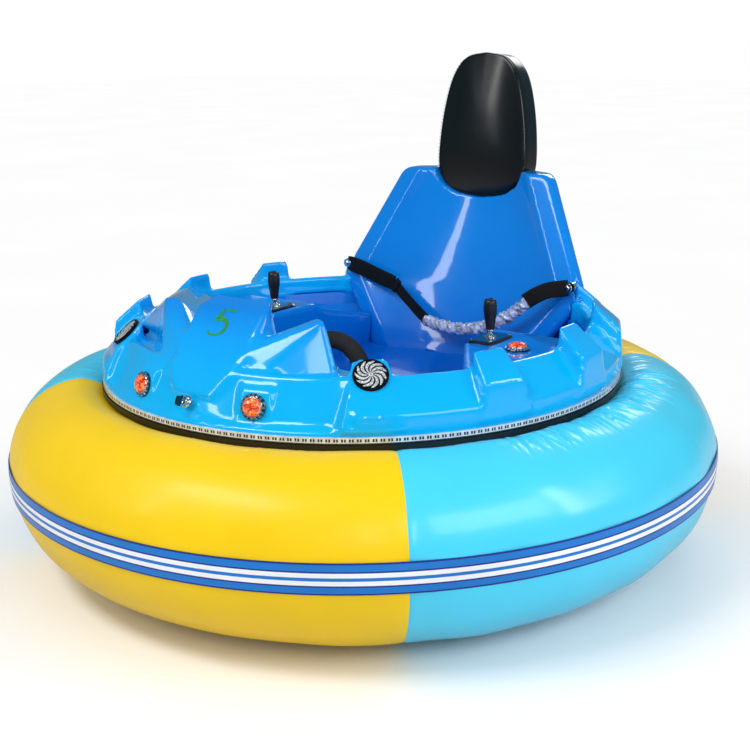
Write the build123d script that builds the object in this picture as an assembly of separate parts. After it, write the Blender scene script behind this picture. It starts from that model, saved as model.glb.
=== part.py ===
from build123d import *
import os
from math import sin, cos, radians

# Spin bumper car with an inflated bumper ring, two driven wheels and two casters.
# Millimetres. Origin on the floor under the ring's centre, +Z up, nose towards -Y,
# so +X is the driver's left. Bearings are degrees from the nose towards the left.

os.makedirs("parts", exist_ok=True)

# ---- fits -------------------------------------------------------------------
SOFT_GAP = 0.3          # between a soft or curved piece and its neighbour
RUN_GAP = 6.0           # beside a turning wheel
WALL = 6.0              # moulded glass-fibre wall

# ---- bumper ring ------------------------------------------------------------
RING_RADIUS = 1000.0
RING_EQUATOR_Z = 290.0
RING_LOW_RADIUS = 737.0
RING_LOW_Z = 30.0
RING_CREST_Z = 515.0
RING_HOLE_RADIUS = 541.0
RING_HOLE_LOW_Z = 180.0
RING_HOLE_TOP_Z = 380.0
RING_SEAM_BEARING = 43.0
PANEL_NAMES = ("tube_front", "tube_left", "tube_rear", "tube_right")

BAND_HEIGHT = 76.0
BAND_THICKNESS = 2.0
STRIPE_HEIGHT = 11.0
STRIPE_PITCH = 19.0

# ---- deck moulding ----------------------------------------------------------
DECK_RADIUS = 730.0
DECK_BOTTOM_Z = 493.0
DECK_HEIGHT = 159.0         # from the deck's lower edge to its sill
LEDGE_HEIGHT = 36.0         # the skirt under the deck's overhang
LEDGE_DEPTH = 6.0
SHOULDER_HEIGHT = 48.0      # the upright face above the overhang
SILL_INSET = 75.0           # the sill's outer edge, in from the deck's
SILL_WIDTH = 18.0
SILL_LIP_DROP = 52.0        # the inner wall below the sill, down to the tub's flange
EDGE_ROUND = 12.0

SILL_Z = DECK_BOTTOM_Z + DECK_HEIGHT
DECK_LEDGE_Z = DECK_BOTTOM_Z + LEDGE_HEIGHT
DECK_SHOULDER_Z = DECK_LEDGE_Z + SHOULDER_HEIGHT
SILL_RADIUS = DECK_RADIUS - SILL_INSET
SILL_INNER_RADIUS = SILL_RADIUS - SILL_WIDTH
SILL_LIP_Z = SILL_Z - SILL_LIP_DROP
RING_CREST_RADIUS = DECK_RADIUS + 70.0

# Raised ribs round the deck: bearing, how much taller than standard, how much further in
RIBS = (
    (39.3, -7.0, 32.0),
    (65.5, 4.0, 0.0),
    (91.5, 14.0, 0.0),
    (117.0, 20.0, 0.0),
    (143.0, 20.0, 0.0),
)
# How far in from the deck's edge, half widths, and heights above the sill
RIB_FOOT = dict(outer_in=-5.0, inner_in=92.0, outer_half=77.0, inner_half=58.0, rise=-112.0)
RIB_TOP = dict(outer_in=1.0, inner_in=80.0, outer_half=58.0, inner_half=43.0,
               outer_rise=-24.0, inner_rise=45.0)
RIB_ROUND = 8.0

APRON_HALF_ANGLE = 33.5     # the deck's face is cut back round the nose
# The apron's face from the foot up: how far in from the deck's edge, height above its ledge
APRON_FACE = ((0.0, 4.0), (24.0, 16.0), (36.0, 41.0), (75.0, 123.0))

# ---- hood -------------------------------------------------------------------
HOOD_SINK = 22.0            # the hood's plate, below the sill
HOOD_REAR_IN = 310.0        # the plate's rear edge, in from the deck's edge
# Spine sections from the nose back: how far in from the deck's edge, half width
# at the top, height above the sill, half width below
SPINE = (
    (92.0, 46.0, -26.0, 110.0),
    (117.0, 112.0, 33.0, 124.0),
    (200.0, 116.0, 124.0, 130.0),
    (244.0, 92.0, 144.0, 128.0),
)
# Wing corners: across, how far in from the deck's edge, height above the sill
WING = (
    (60.0, 130.0, 40.0), (115.0, 121.0, 41.0), (272.0, 230.0, 119.0), (238.0, 250.0, 119.0),
    (146.0, 98.0, -15.0), (306.0, 234.0, -16.0), (250.0, 300.0, -16.0), (60.0, 290.0, -16.0),
)
# The shoulder that ties the right wing to the deck, in the same way
SHOULDER = (
    (100.0, 126.0, 38.0), (262.0, 232.0, 112.0), (440.0, 395.0, 66.0), (560.0, 556.0, 46.0),
    (610.0, 672.0, 38.0), (300.0, 430.0, 30.0), (430.0, 600.0, 6.0), (280.0, 250.0, -16.0),
    (520.0, 360.0, -16.0), (600.0, 520.0, -16.0), (390.0, 640.0, -16.0), (130.0, 300.0, -16.0),
)

# ---- cockpit ----------------------------------------------------------------
TUB_KNEE_Z = 385.0
TUB_KNEE_GAP = 7.0          # from the tub's knee to the ring's hole
TUB_FLOOR_IN = 42.0         # the floor's edge, in from the knee
TUB_RIM_IN = 6.0            # the rim, in from the deck's inner wall
TUB_RIM_DROP = 40.0         # the rim below the deck's inner wall
TUB_FLANGE_WIDTH = 35.0
POD_DROP = 30.0             # the joystick pods' tops, below the sill
# Plan of the left console: how far in from the deck's edge, and y, at the front
# end on the sill, the pod's corner, the inner side's front and its rear end
CONSOLE_PLAN = ((170.0, -340.0), (352.0, -46.0), (388.0, 10.0), (430.0, 452.0))
CONSOLE_SLOPE_Y = 190.0     # where the console's top starts to fall
CONSOLE_SLOPE_RUN = 45.0
CONSOLE_SLOPE_DROP = 26.0
CONSOLE_REAR_DROP = 77.0

SEAT_LENGTH = 396.0
SEAT_REAR_IN = 50.0         # the seat base's rear face, in from the tub's floor edge
SEAT_HEIGHT = 246.0
SEAT_DISH = 18.0

BACK_FOOT_HALF = 290.0
BACK_FOOT_IN = 18.0         # the seat back's front, ahead of the seat base's rear face
# Seat back sections above the sill: height above it, half width, front y at the
# bolster as a share of the deck's inner radius, set-back of the middle, thickness
BACK_SILL = (8.0, 448.0, 0.7504, 60.0, 62.0)
BACK_TOP = (360.0, 268.0, 0.9168, 72.0, 66.0)
BOLSTER_WIDTH = 74.0
BACK_EDGE_ROUND = 13.0
BACK_TOP_ROUND = 52.0

HEADREST_RISE = 276.0       # its lower edge above the sill
HEADREST_HEIGHT = 445.0
HEADREST_LOW_HALF = 160.0
HEADREST_HIGH_HALF = 104.0
HEADREST_THICKNESS = 88.0
HEADREST_SHARE = 0.9702     # its front, as a share of the deck's inner radius
HEADREST_LEAN = 5.0

# ---- trim, lights and controls ----------------------------------------------
TRIM_PROUD = 5.0            # past the deck's edge
TRIM_HEIGHT = 16.0
LED_PROUD = 2.5
LED_HEIGHT = 16.0

FAN_RADIUS = 43.5
FAN_DEPTH = 9.0

LAMP_RADIUS = 32.5
LAMP_LENS_RADIUS = 24.0
LAMP_BASE_DEPTH = 9.0
LAMP_DOME = 13.0
LAMP_FACETS = 12
LAMP_BEARING = 15.6
# The lamp pad's face: how far in from the deck's edge, height above the ledge
LAMP_PAD_LOW = (24.5, 19.0)
LAMP_PAD_HIGH = (44.0, 87.0)
LAMP_PAD_HALF = 44.0
POD_LAMP_PLACE = (222.0, 14.0)      # in from the deck's edge, and y

KEY_IN = 24.0               # the key switch, in from the deck's edge
KEY_RISE = 40.0             # and above the ledge
KEY_BARREL_RADIUS = 11.0
KEY_BARREL_LENGTH = 26.0
KEY_SINK = 11.0
KEY_HEAD = (20.0, 30.0, 5.0)
KEY_STEM = (8.0, 3.0, 8.0)

STICK_PLACE = (342.0, 70.0)         # in from the deck's edge, and y
PLATE_SIZE = (78.0, 122.0, 8.0)
PLATE_BEVEL = 5.0
SHAFT_RADIUS = 6.0
SHAFT_HEIGHT = 22.0
GRIP_HEIGHT = 84.0
GRIP_TOP_RADIUS = 18.5
GRIP_LOW_RADIUS = 12.0

HOOP_RADIUS = 97.0          # centre line of the grab bar's arch
HOOP_Y = -120.0
HOOP_SPRING_DROP = 139.0    # where the arch starts, below the sill
HOOP_TUBE_RADIUS = 16.0
HOOP_FOAM_RADIUS = 25.0
HOOP_FOAM_GAP = 1.0
HOOP_COLLAR_HEIGHT = 5.0
HOOP_FOOT_RADIUS = 34.0
HOOP_FOOT_THICKNESS = 6.0

# ---- seat belt ----------------------------------------------------------------
# Points as it lies: across, how far ahead of the seat back's bolster, height above the sill
BELT_PAD_WIDTH = 48.0
BELT_PAD_THICKNESS = 11.0
BELT_WEB_WIDTH = 38.0
BELT_WEB_THICKNESS = 3.0
BELT_PAD = ((-410.0, 6.0, 48.0), (-205.0, 34.0, 4.0))
BELT_WEB = ((-205.0, 34.0, 4.0), (-66.6, 61.8, -91.5))
BELT_WRAP = ((-64.0, 62.0, -95.0), (60.0, 76.0, -104.0), (200.0, 72.0, -72.0), (300.0, 62.0, 3.0))
BELT_LEFT = ((302.5, 61.4, 4.4), (352.0, 38.0, 36.0), (410.0, 6.0, 48.0))
WRAP_RADIUS = 19.0
WRAP_BEND = 110.0
ANCHOR_RADIUS = 15.0
ANCHOR_LENGTH = 22.0

# ---- chassis ------------------------------------------------------------------
FRAME_TOP_Z = 200.0
FRAME_TUBE = 40.0
FRAME_RAIL_X = 150.0
FRAME_CROSS_IN = 240.7      # the cross tubes, in from the frame's edge
WHEEL_RADIUS = 90.0
WHEEL_WIDTH = 46.0
WHEEL_IN = 120.7            # the wheels' middle, in from the frame's edge
HUB_RADIUS = 56.0
TYRE_ROUND = 8.0
AXLE_RADIUS = 12.0
MOTOR_RADIUS = 55.0
MOTOR_LENGTH = 150.0
GEARBOX_SIZE = (80.0, 120.0, 110.0)
MOTOR_PLATE_THICKNESS = 8.0
OUTRIGGER_Y = 140.0

CASTER_IN = 120.7           # the casters' swivel, in from the frame's edge
CASTER_WHEEL_RADIUS = 50.0
CASTER_WHEEL_WIDTH = 30.0
CASTER_TRAIL = 36.0
CASTER_PLATE = 90.0
CASTER_PLATE_THICKNESS = 6.0
CASTER_FORK_THICKNESS = 5.0
CASTER_CROWN_RADIUS = 28.0
CASTER_CROWN_HEIGHT = 14.0
CASTER_PIN_RADIUS = 5.0

BATTERY_SIZE = (340.0, 300.0, 200.0)
BATTERY_IN = 236.0          # its middle, in from the tub's floor edge

# ---- sizes that follow from the ones above --------------------------------------
FRAME_RADIUS = RING_HOLE_RADIUS - SOFT_GAP
FRAME_LOW_Z = FRAME_TOP_Z - FRAME_TUBE
FRAME_CROSS_Y = FRAME_RADIUS - FRAME_CROSS_IN
WHEEL_X = FRAME_RADIUS - WHEEL_IN
CASTER_Y = FRAME_RADIUS - CASTER_IN
FLOOR_Z = FRAME_TOP_Z + WALL
TUB_KNEE_RADIUS = RING_HOLE_RADIUS - TUB_KNEE_GAP - WALL
TUB_FLOOR_RADIUS = TUB_KNEE_RADIUS - TUB_FLOOR_IN
TUB_RIM_RADIUS = SILL_INNER_RADIUS - TUB_RIM_IN
TUB_RIM_Z = SILL_LIP_Z - TUB_RIM_DROP
TUB_FLANGE_RADIUS = TUB_RIM_RADIUS + TUB_FLANGE_WIDTH
HOOD_BASE_Z = SILL_Z - HOOD_SINK
POD_TOP_Z = SILL_Z - POD_DROP
SEAT_REAR_Y = TUB_FLOOR_RADIUS - SEAT_REAR_IN
SEAT_FRONT_Y = SEAT_REAR_Y - SEAT_LENGTH
SEAT_TOP_Z = FLOOR_Z + SEAT_HEIGHT
LED_Z = DECK_BOTTOM_Z + TRIM_HEIGHT + 2.0
HEADREST_FRONT_Y = SILL_INNER_RADIUS * HEADREST_SHARE
HEADREST_BOTTOM_Z = SILL_Z + HEADREST_RISE
HOOP_SPRING_Z = SILL_Z - HOOP_SPRING_DROP
BACK_SILL_Y = SILL_INNER_RADIUS * BACK_SILL[2]


def save(node, shape):
    export_step(shape, f"parts/{node}.step")


def at(bearing, radius, across, z):
    """A point by bearing, distance out, distance across and height."""
    b = radians(bearing)
    return (radius * sin(b) + across * cos(b), -radius * cos(b) + across * sin(b), z)


def half_section(*points):
    """A face in the half plane of radius and height, from its corners."""
    return Plane.XZ * Polygon(*points, align=None)


def turned(section, arc=360.0, bearing=0.0):
    """Turns a half section about the ring's axis, starting at a bearing."""
    return Rot(0, 0, bearing - 90.0) * revolve(section, Axis.Z, arc)


def between(low_points, high_points):
    """A solid with flat or ruled sides between two outlines."""
    outlines = [Wire.make_polygon([Vector(*p) for p in pts]) for pts in (low_points, high_points)]
    return Solid.make_loft(outlines, ruled=True)


def raised(plan, low_z, height):
    """A plan drawn at the origin, pulled up from one height."""
    return Pos(0, 0, low_z) * extrude(plan, height, dir=(0, 0, 1))


def upright(radius, height):
    """A cylinder that stands on the origin."""
    return Cylinder(radius, height, align=(Align.CENTER, Align.CENTER, Align.MIN))


def mirrored(shape):
    return mirror(shape, about=Plane.YZ)


# ---- bumper ring ---------------------------------------------------------------
def ring_section():
    low = (RING_LOW_RADIUS, RING_LOW_Z)
    equator = (RING_RADIUS, RING_EQUATOR_Z)
    crest = (RING_CREST_RADIUS, RING_CREST_Z)
    seat = (DECK_RADIUS, DECK_BOTTOM_Z - 4.0)
    hole_top = (RING_HOLE_RADIUS, RING_HOLE_TOP_Z)
    hole_low = (RING_HOLE_RADIUS, RING_HOLE_LOW_Z)
    lean = sin(radians(45))

    def quarter(centre_r, end):
        return (centre_r + (RING_RADIUS - centre_r) * lean, RING_EQUATOR_Z + (end - RING_EQUATOR_Z) * lean)

    def bowed(start, end, out, up):
        """The middle of an arc between two points, bowed out and up."""
        return ((start[0] + end[0]) / 2 + out, (start[1] + end[1]) / 2 + up)

    edges = [
        ThreePointArc(low, quarter(RING_LOW_RADIUS, RING_LOW_Z), equator),
        ThreePointArc(equator, quarter(RING_CREST_RADIUS, RING_CREST_Z), crest),
        ThreePointArc(crest, bowed(crest, seat, 1.0, 6.0), seat),
        ThreePointArc(seat, bowed(seat, hole_top, -7.5, 17.5), hole_top),
        Line(hole_top, hole_low),
        ThreePointArc(hole_low, bowed(hole_low, low, -29.0, -29.0), low),
    ]
    return Face(Wire(edges))


def band_ring(low_z, high_z):
    """A ring hugging the bumper ring's face between two heights."""
    inner = offset(ring_section(), SOFT_GAP)
    outer = offset(ring_section(), SOFT_GAP + BAND_THICKNESS)
    middle = (RING_RADIUS, (low_z + high_z) / 2)
    window = Pos(*middle) * Rectangle(RING_RADIUS - RING_CREST_RADIUS, high_z - low_z)
    return turned(Plane.XZ * ((outer - inner) & window))


def build_bumper_ring():
    panel = Plane.XZ * Sketch([ring_section()])
    for index, name in enumerate(PANEL_NAMES):
        save(name, turned(panel, 90.0, RING_SEAM_BEARING - 90.0 + index * 90.0))
    half = BAND_HEIGHT / 2
    band = band_ring(RING_EQUATOR_Z - half, RING_EQUATOR_Z + half)
    stripes = [
        band_ring(RING_EQUATOR_Z + side * STRIPE_PITCH / 2 - STRIPE_HEIGHT / 2,
                  RING_EQUATOR_Z + side * STRIPE_PITCH / 2 + STRIPE_HEIGHT / 2)
        for side in (-1, 1)
    ]
    save("wear_band", band - stripes[0] - stripes[1])
    save("band_stripes", Compound(stripes))


# ---- deck ------------------------------------------------------------------------
def deck_outline(inset):
    """The deck's ring in half section; its hollow is the same outline a wall further in."""
    skirt = DECK_RADIUS - LEDGE_DEPTH - inset
    inner_low = SILL_LIP_Z if inset == 0 else DECK_BOTTOM_Z - inset
    sill_in = (SILL_INNER_RADIUS + inset, SILL_Z - inset)
    sill_out = (SILL_RADIUS - inset * 0.4, SILL_Z - inset)
    shoulder = (DECK_RADIUS - inset, DECK_SHOULDER_Z - inset * 0.4)
    corners = [
        (SILL_INNER_RADIUS + inset, inner_low), sill_in, sill_out, shoulder,
        (DECK_RADIUS - inset, DECK_LEDGE_Z + inset),
        (skirt, DECK_LEDGE_Z + inset),
        (skirt, DECK_BOTTOM_Z - inset),
    ]
    if inset == 0:
        over_flange = TUB_FLANGE_RADIUS + SOFT_GAP
        corners += [(over_flange, DECK_BOTTOM_Z), (over_flange, SILL_LIP_Z)]
    outline = Polygon(*corners, align=None)
    if inset == 0:
        soft = [v for v in outline.vertices()
                if (Vector(v) - Vector(*sill_out)).length < 1 or (Vector(v) - Vector(*shoulder)).length < 1]
        outline = fillet(soft, EDGE_ROUND)
    return outline


def rib(bearing, rise, set_in, inset):
    """One raised rib of the deck, or its hollow."""
    foot, top = RIB_FOOT, RIB_TOP
    low_z = SILL_Z + foot["rise"] - inset
    outer = DECK_RADIUS - foot["outer_in"] - inset
    inner = DECK_RADIUS - foot["inner_in"] - set_in + inset
    top_outer = DECK_RADIUS - top["outer_in"] - set_in - inset
    top_inner = DECK_RADIUS - top["inner_in"] - set_in + inset
    low = [at(bearing, outer, -foot["outer_half"] + inset, low_z),
           at(bearing, outer, foot["outer_half"] - inset, low_z),
           at(bearing, inner, foot["inner_half"] - inset, low_z),
           at(bearing, inner, -foot["inner_half"] + inset, low_z)]
    outer_z = SILL_Z + top["outer_rise"] + rise - inset * 1.3
    inner_z = SILL_Z + top["inner_rise"] + rise - inset * 1.3
    high = [at(bearing, top_outer, -top["outer_half"] + inset, outer_z),
            at(bearing, top_outer, top["outer_half"] - inset, outer_z),
            at(bearing, top_inner, top["inner_half"] - inset, inner_z),
            at(bearing, top_inner, -top["inner_half"] + inset, inner_z)]
    block = between(low, high)
    if inset == 0:
        soft = [e for e in block.edges() if e.center().Z > low_z + 1]
        block = fillet(soft, RIB_ROUND)
    return block


def lamp_pad_points():
    """The pad's face in radius and height: its low edge and its high edge."""
    return [(DECK_RADIUS - back, DECK_LEDGE_Z + rise) for back, rise in (LAMP_PAD_LOW, LAMP_PAD_HIGH)]


def lamp_pad(bearing, inset):
    """The raised pad that carries a front lamp, or its hollow."""
    half = LAMP_PAD_HALF - inset
    (low_r, low_z), (high_r, high_z) = lamp_pad_points()
    back_r = SILL_INNER_RADIUS + 13.0
    back_z = high_z + 26.0 - inset
    face = [at(bearing, low_r - inset, -half, low_z), at(bearing, low_r - inset, half, low_z),
            at(bearing, high_r - inset, half * 0.9, high_z - inset),
            at(bearing, high_r - inset, -half * 0.9, high_z - inset)]
    back = [at(bearing, back_r, -half * 1.4, low_z), at(bearing, back_r, half * 1.4, low_z),
            at(bearing, back_r, half * 1.2, back_z), at(bearing, back_r, -half * 1.2, back_z)]
    return between(face, back)


def deck_form(inset=0.0):
    """The deck's outer form, or with an inset the hollow under it."""
    ring = turned(Plane.XZ * deck_outline(inset))
    face = [(DECK_RADIUS - back - inset, DECK_LEDGE_Z + rise) for back, rise in APRON_FACE]
    clear_r, clear_z = DECK_RADIUS + 30.0, SILL_Z + 68.0
    apron = half_section((clear_r, face[0][1]), *face, (face[-1][0], clear_z), (clear_r, clear_z))
    sweep = 2 * APRON_HALF_ANGLE + inset * 0.16
    ring -= turned(apron, sweep, -sweep / 2)
    for bearing, rise, set_in in RIBS:
        ring += rib(bearing, rise, set_in, inset) + rib(-bearing, rise, set_in, inset)
    ring += lamp_pad(LAMP_BEARING, inset) + lamp_pad(-LAMP_BEARING, inset)
    if inset == 0:
        over_flange = TUB_FLANGE_RADIUS + SOFT_GAP
        inside = SILL_INNER_RADIUS - 50.0
        ring -= turned(half_section((inside, DECK_BOTTOM_Z), (over_flange, DECK_BOTTOM_Z),
                                    (over_flange, SILL_LIP_Z), (inside, SILL_LIP_Z)))
    return ring


def tub_interior(gap, top_z):
    """The space inside the tub and the deck's inner wall, less a gap."""
    return turned(half_section(
        (0, FLOOR_Z), (TUB_FLOOR_RADIUS - gap, FLOOR_Z), (TUB_KNEE_RADIUS - gap, TUB_KNEE_Z),
        (TUB_RIM_RADIUS - gap, TUB_RIM_Z), (TUB_RIM_RADIUS - gap, SILL_LIP_Z),
        (SILL_INNER_RADIUS - gap, SILL_LIP_Z), (SILL_INNER_RADIUS - gap, top_z), (0, top_z)))


def build_tub():
    low_z = FLOOR_Z - WALL
    lip_z = SILL_LIP_Z - WALL
    outside = turned(half_section(
        (0, low_z), (TUB_FLOOR_RADIUS + WALL, low_z), (TUB_KNEE_RADIUS + WALL, TUB_KNEE_Z - 2),
        (TUB_RIM_RADIUS + WALL, TUB_RIM_Z - 2), (TUB_RIM_RADIUS + WALL, lip_z),
        (TUB_FLANGE_RADIUS, lip_z), (TUB_FLANGE_RADIUS, SILL_LIP_Z), (0, SILL_LIP_Z)))
    save("cockpit_tub", outside - tub_interior(0.0, SILL_LIP_Z + 10.0))


# ---- hood --------------------------------------------------------------------------
def spine(inset):
    stations = []
    for index, (back, top_half, rise, low_half) in enumerate(SPINE):
        shift = inset if index == 0 else -inset if index == len(SPINE) - 1 else 0.0
        y = back - DECK_RADIUS + shift
        low_z = HOOD_BASE_Z - 3 * inset
        high_z = max(SILL_Z + rise - inset * 1.5, low_z + 1.0)
        low, top = low_half - inset, top_half - inset
        stations.append(Wire.make_polygon([
            Vector(-low, y, low_z), Vector(low, y, low_z), Vector(top, y, high_z), Vector(-top, y, high_z)]))
    return Solid.make_loft(stations, ruled=True)


def faceted(corners, side, inset):
    """A faceted body of the hood from its corners, or its hollow; side -1 is the right."""
    points = [Vector(side * x, back - DECK_RADIUS, SILL_Z + rise) for x, back, rise in corners]
    middle = sum(points, Vector()) / len(points)
    drawn = [p + (middle - p).normalized() * inset * 1.6 - Vector(0, 0, inset) for p in points]
    return ConvexPolyhedron(drawn)


def build_hood(deck):
    plate_plan = Circle(SILL_INNER_RADIUS - SOFT_GAP)
    rear_y = HOOD_REAR_IN - DECK_RADIUS
    plate_plan &= Pos(0, rear_y - DECK_RADIUS / 2) * Rectangle(2 * DECK_RADIUS, DECK_RADIUS)
    hood = raised(plate_plan, HOOD_BASE_Z, WALL) + spine(0.0)
    for corners, side in ((WING, 1), (WING, -1), (SHOULDER, -1)):
        hood += faceted(corners, side, 0.0)
    hollow = spine(WALL)
    for corners, side in ((WING, 1), (WING, -1), (SHOULDER, -1)):
        hollow += faceted(corners, side, WALL)
    hood = hood - hollow - deck - raised(Circle(2 * DECK_RADIUS), 0, HOOD_BASE_Z)
    hood = hood.solids().sort_by(SortBy.VOLUME)[-1]
    save("hood", hood)


# ---- cockpit ---------------------------------------------------------------------
def console_plan_points():
    inside = [(DECK_RADIUS - back, y) for back, y in CONSOLE_PLAN]
    rear_y, front_y = inside[-1][1], inside[0][1]
    return inside + [(DECK_RADIUS - 30.0, rear_y), (DECK_RADIUS - 30.0, front_y)]


def console_edge_x(y):
    """The console's inner side, which the seat base follows."""
    (front_x, front_y), (rear_x, rear_y) = console_plan_points()[2:4]
    return front_x + (rear_x - front_x) * (y - front_y) / (rear_y - front_y)


def console_form(inset=0.0):
    points = console_plan_points()
    plan = Polygon(*points, align=None)
    top_z = POD_TOP_Z - inset
    if inset:
        plan = offset(plan, -inset)
    block = raised(plan, FLOOR_Z - inset, top_z - FLOOR_Z + inset)
    start_y = CONSOLE_SLOPE_Y - inset
    rear_y = points[3][1] + 1
    above = POD_TOP_Z + 80.0
    drop = Plane.YZ * Polygon(
        (start_y, top_z), (start_y + CONSOLE_SLOPE_RUN, top_z - CONSOLE_SLOPE_DROP),
        (rear_y, top_z - CONSOLE_REAR_DROP), (rear_y, above), (start_y, above), align=None)
    block -= extrude(drop, DECK_RADIUS, dir=(1, 0, 0))
    return block if inset else block & tub_interior(SOFT_GAP, above)


def seat_base_form(inset=0.0):
    low_z = FLOOR_Z if inset == 0 else FLOOR_Z - 5
    front, rear, top = SEAT_FRONT_Y + inset, SEAT_REAR_Y - inset, SEAT_TOP_Z - inset
    side = Face(Wire([
        Line((front, low_z), (front - 8, top - 22)),
        ThreePointArc((front - 8, top - 22), (front, top - 5), (front + 18, top)),
        ThreePointArc((front + 18, top), ((front + rear) / 2, top - SEAT_DISH), (rear, top)),
        Line((rear, top), (rear, low_z)),
        Line((rear, low_z), (front, low_z)),
    ]))
    block = extrude(Plane.YZ * Sketch([side]), DECK_RADIUS, both=True)
    gap = SOFT_GAP + inset
    start = front - 50.0
    front_x, rear_x = console_edge_x(start) - gap, console_edge_x(rear) - gap
    plan = Polygon((-front_x, start), (front_x, start), (rear_x, rear + 1), (-rear_x, rear + 1), align=None)
    return block & raised(plan, FLOOR_Z - 50.0, SEAT_HEIGHT + 100.0) & tub_interior(gap, SILL_Z)


def back_section(z, half, front, set_back, thickness):
    """One level of the seat back: two bolsters and a hollowed middle, with soft edges."""
    bolster = half - min(BOLSTER_WIDTH, half * 0.3)
    rear = front + set_back + thickness
    side_rear = front + thickness * 0.8
    edges = [
        Line((-half, front + 10), (-bolster, front)),
        ThreePointArc((-bolster, front), (0, front + set_back), (bolster, front)),
        Line((bolster, front), (half, front + 10)),
        Line((half, front + 10), (half, side_rear)),
        ThreePointArc((half, side_rear), (0, rear), (-half, side_rear)),
        Line((-half, side_rear), (-half, front + 10)),
    ]
    outline = Sketch([Face(Wire(edges))])
    corners = [v for v in outline.vertices() if abs(abs(v.X) - half) < 1e-6]
    return Pos(0, 0, z) * fillet(corners, BACK_EDGE_ROUND).face()


def headrest_form(gap=0.0, forward=0.0):
    """The headrest, or the pocket for it, open towards the rider."""
    low_y = HEADREST_FRONT_Y - gap - forward
    centre_z = HEADREST_BOTTOM_Z + HEADREST_LOW_HALF
    top_z = HEADREST_BOTTOM_Z + HEADREST_HEIGHT
    top_centre_z = top_z - HEADREST_HIGH_HALF * 0.62
    low_half, high_half = HEADREST_LOW_HALF + gap, HEADREST_HIGH_HALF + gap
    outline = Face(Wire([
        ThreePointArc((-low_half, centre_z), (0, HEADREST_BOTTOM_Z - gap), (low_half, centre_z)),
        Line((low_half, centre_z), (high_half, top_centre_z)),
        ThreePointArc((high_half, top_centre_z), (0, top_z + gap), (-high_half, top_centre_z)),
        Line((-high_half, top_centre_z), (-low_half, centre_z)),
    ]))
    plane = Plane(origin=(0, low_y, 0), x_dir=(1, 0, 0), z_dir=(0, -1, 0))
    pad = extrude(plane * Sketch([outline]), HEADREST_THICKNESS + 2 * gap + forward, dir=(0, 1, 0))
    pivot = Vector(0, HEADREST_FRONT_Y, HEADREST_BOTTOM_Z)
    return Pos(*pivot) * Rot(-HEADREST_LEAN, 0, 0) * Pos(*(-pivot)) * pad


def build_seat_back(deck, console):
    rows = [(SEAT_TOP_Z + SOFT_GAP, BACK_FOOT_HALF, SEAT_REAR_Y - BACK_FOOT_IN, 30.0, 50.0)]
    for rise, half, share, set_back, thickness in (BACK_SILL, BACK_TOP):
        rows.append((SILL_Z + rise, half, SILL_INNER_RADIUS * share, set_back, thickness))
    back = loft([back_section(*row) for row in rows], ruled=True)
    # seen from the front, the top corners are rounded
    (sill_z, sill_half), (top_z, top_half) = [row[:2] for row in rows[1:]]
    front = Polygon((-sill_half, sill_z), (sill_half, sill_z), (top_half, top_z), (-top_half, top_z), align=None)
    front = fillet(front.vertices().group_by(Axis.Y)[-1], BACK_TOP_ROUND)
    front += Polygon((-sill_half, 0), (sill_half, 0), (sill_half, sill_z), (-sill_half, sill_z), align=None)
    back &= Plane.XZ * extrude(front, 2 * DECK_RADIUS, both=True)
    low_z, high_z = SILL_Z - 220.0, SILL_Z - 20.0
    outside = turned(half_section((0, FLOOR_Z), (DECK_RADIUS + 170, FLOOR_Z), (DECK_RADIUS + 170, low_z),
                                  (SILL_INNER_RADIUS, high_z), (0, high_z)))
    outside -= tub_interior(SOFT_GAP, SILL_Z)
    back = back - outside - deck - console - mirrored(console) - headrest_form(SOFT_GAP, 60.0)
    back = back.solids().sort_by(SortBy.VOLUME)[-1]
    save("seat_back", back)
    return back


def build_cockpit(deck):
    outer = console_form()
    left = outer - console_form(WALL)
    save("console_left", left)
    save("console_right", mirrored(left))
    save("seat_base", seat_base_form() - seat_base_form(WALL))
    save("headrest", headrest_form())
    return build_seat_back(deck, outer)


# ---- trim, lights and controls ------------------------------------------------------
def band_round_skirt(proud, low_z, height):
    """A band round the deck's skirt, standing proud of the deck's edge."""
    skirt, out = DECK_RADIUS - LEDGE_DEPTH, DECK_RADIUS + proud
    return turned(half_section((skirt, low_z), (out, low_z), (out, low_z + height), (skirt, low_z + height)))


def build_trim():
    save("edge_trim", band_round_skirt(TRIM_PROUD, DECK_BOTTOM_Z, TRIM_HEIGHT))
    save("led_strip", band_round_skirt(LED_PROUD, LED_Z, LED_HEIGHT))


def rib_top_plane(bearing, rise, set_in):
    """The plane on a rib's sloped top, at its middle, facing out."""
    outer, inner = [
        Vector(*at(bearing, DECK_RADIUS - RIB_TOP[side + "_in"] - set_in, 0,
                   SILL_Z + RIB_TOP[side + "_rise"] + rise))
        for side in ("outer", "inner")
    ]
    across = Vector(*at(bearing, 0, 1, 0))
    return Plane(origin=(outer + inner) / 2, x_dir=across, z_dir=across.cross(inner - outer))


def lamp(plane):
    """A lamp's chrome base and its faceted lens, on a plane."""
    base = plane * upright(LAMP_RADIUS, LAMP_BASE_DEPTH)
    low = Pos(0, 0, LAMP_BASE_DEPTH) * RegularPolygon(LAMP_LENS_RADIUS, LAMP_FACETS)
    high = Pos(0, 0, LAMP_BASE_DEPTH + LAMP_DOME) * RegularPolygon(LAMP_LENS_RADIUS * 0.45, LAMP_FACETS)
    return base, plane * loft([low, high], ruled=True)


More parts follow.
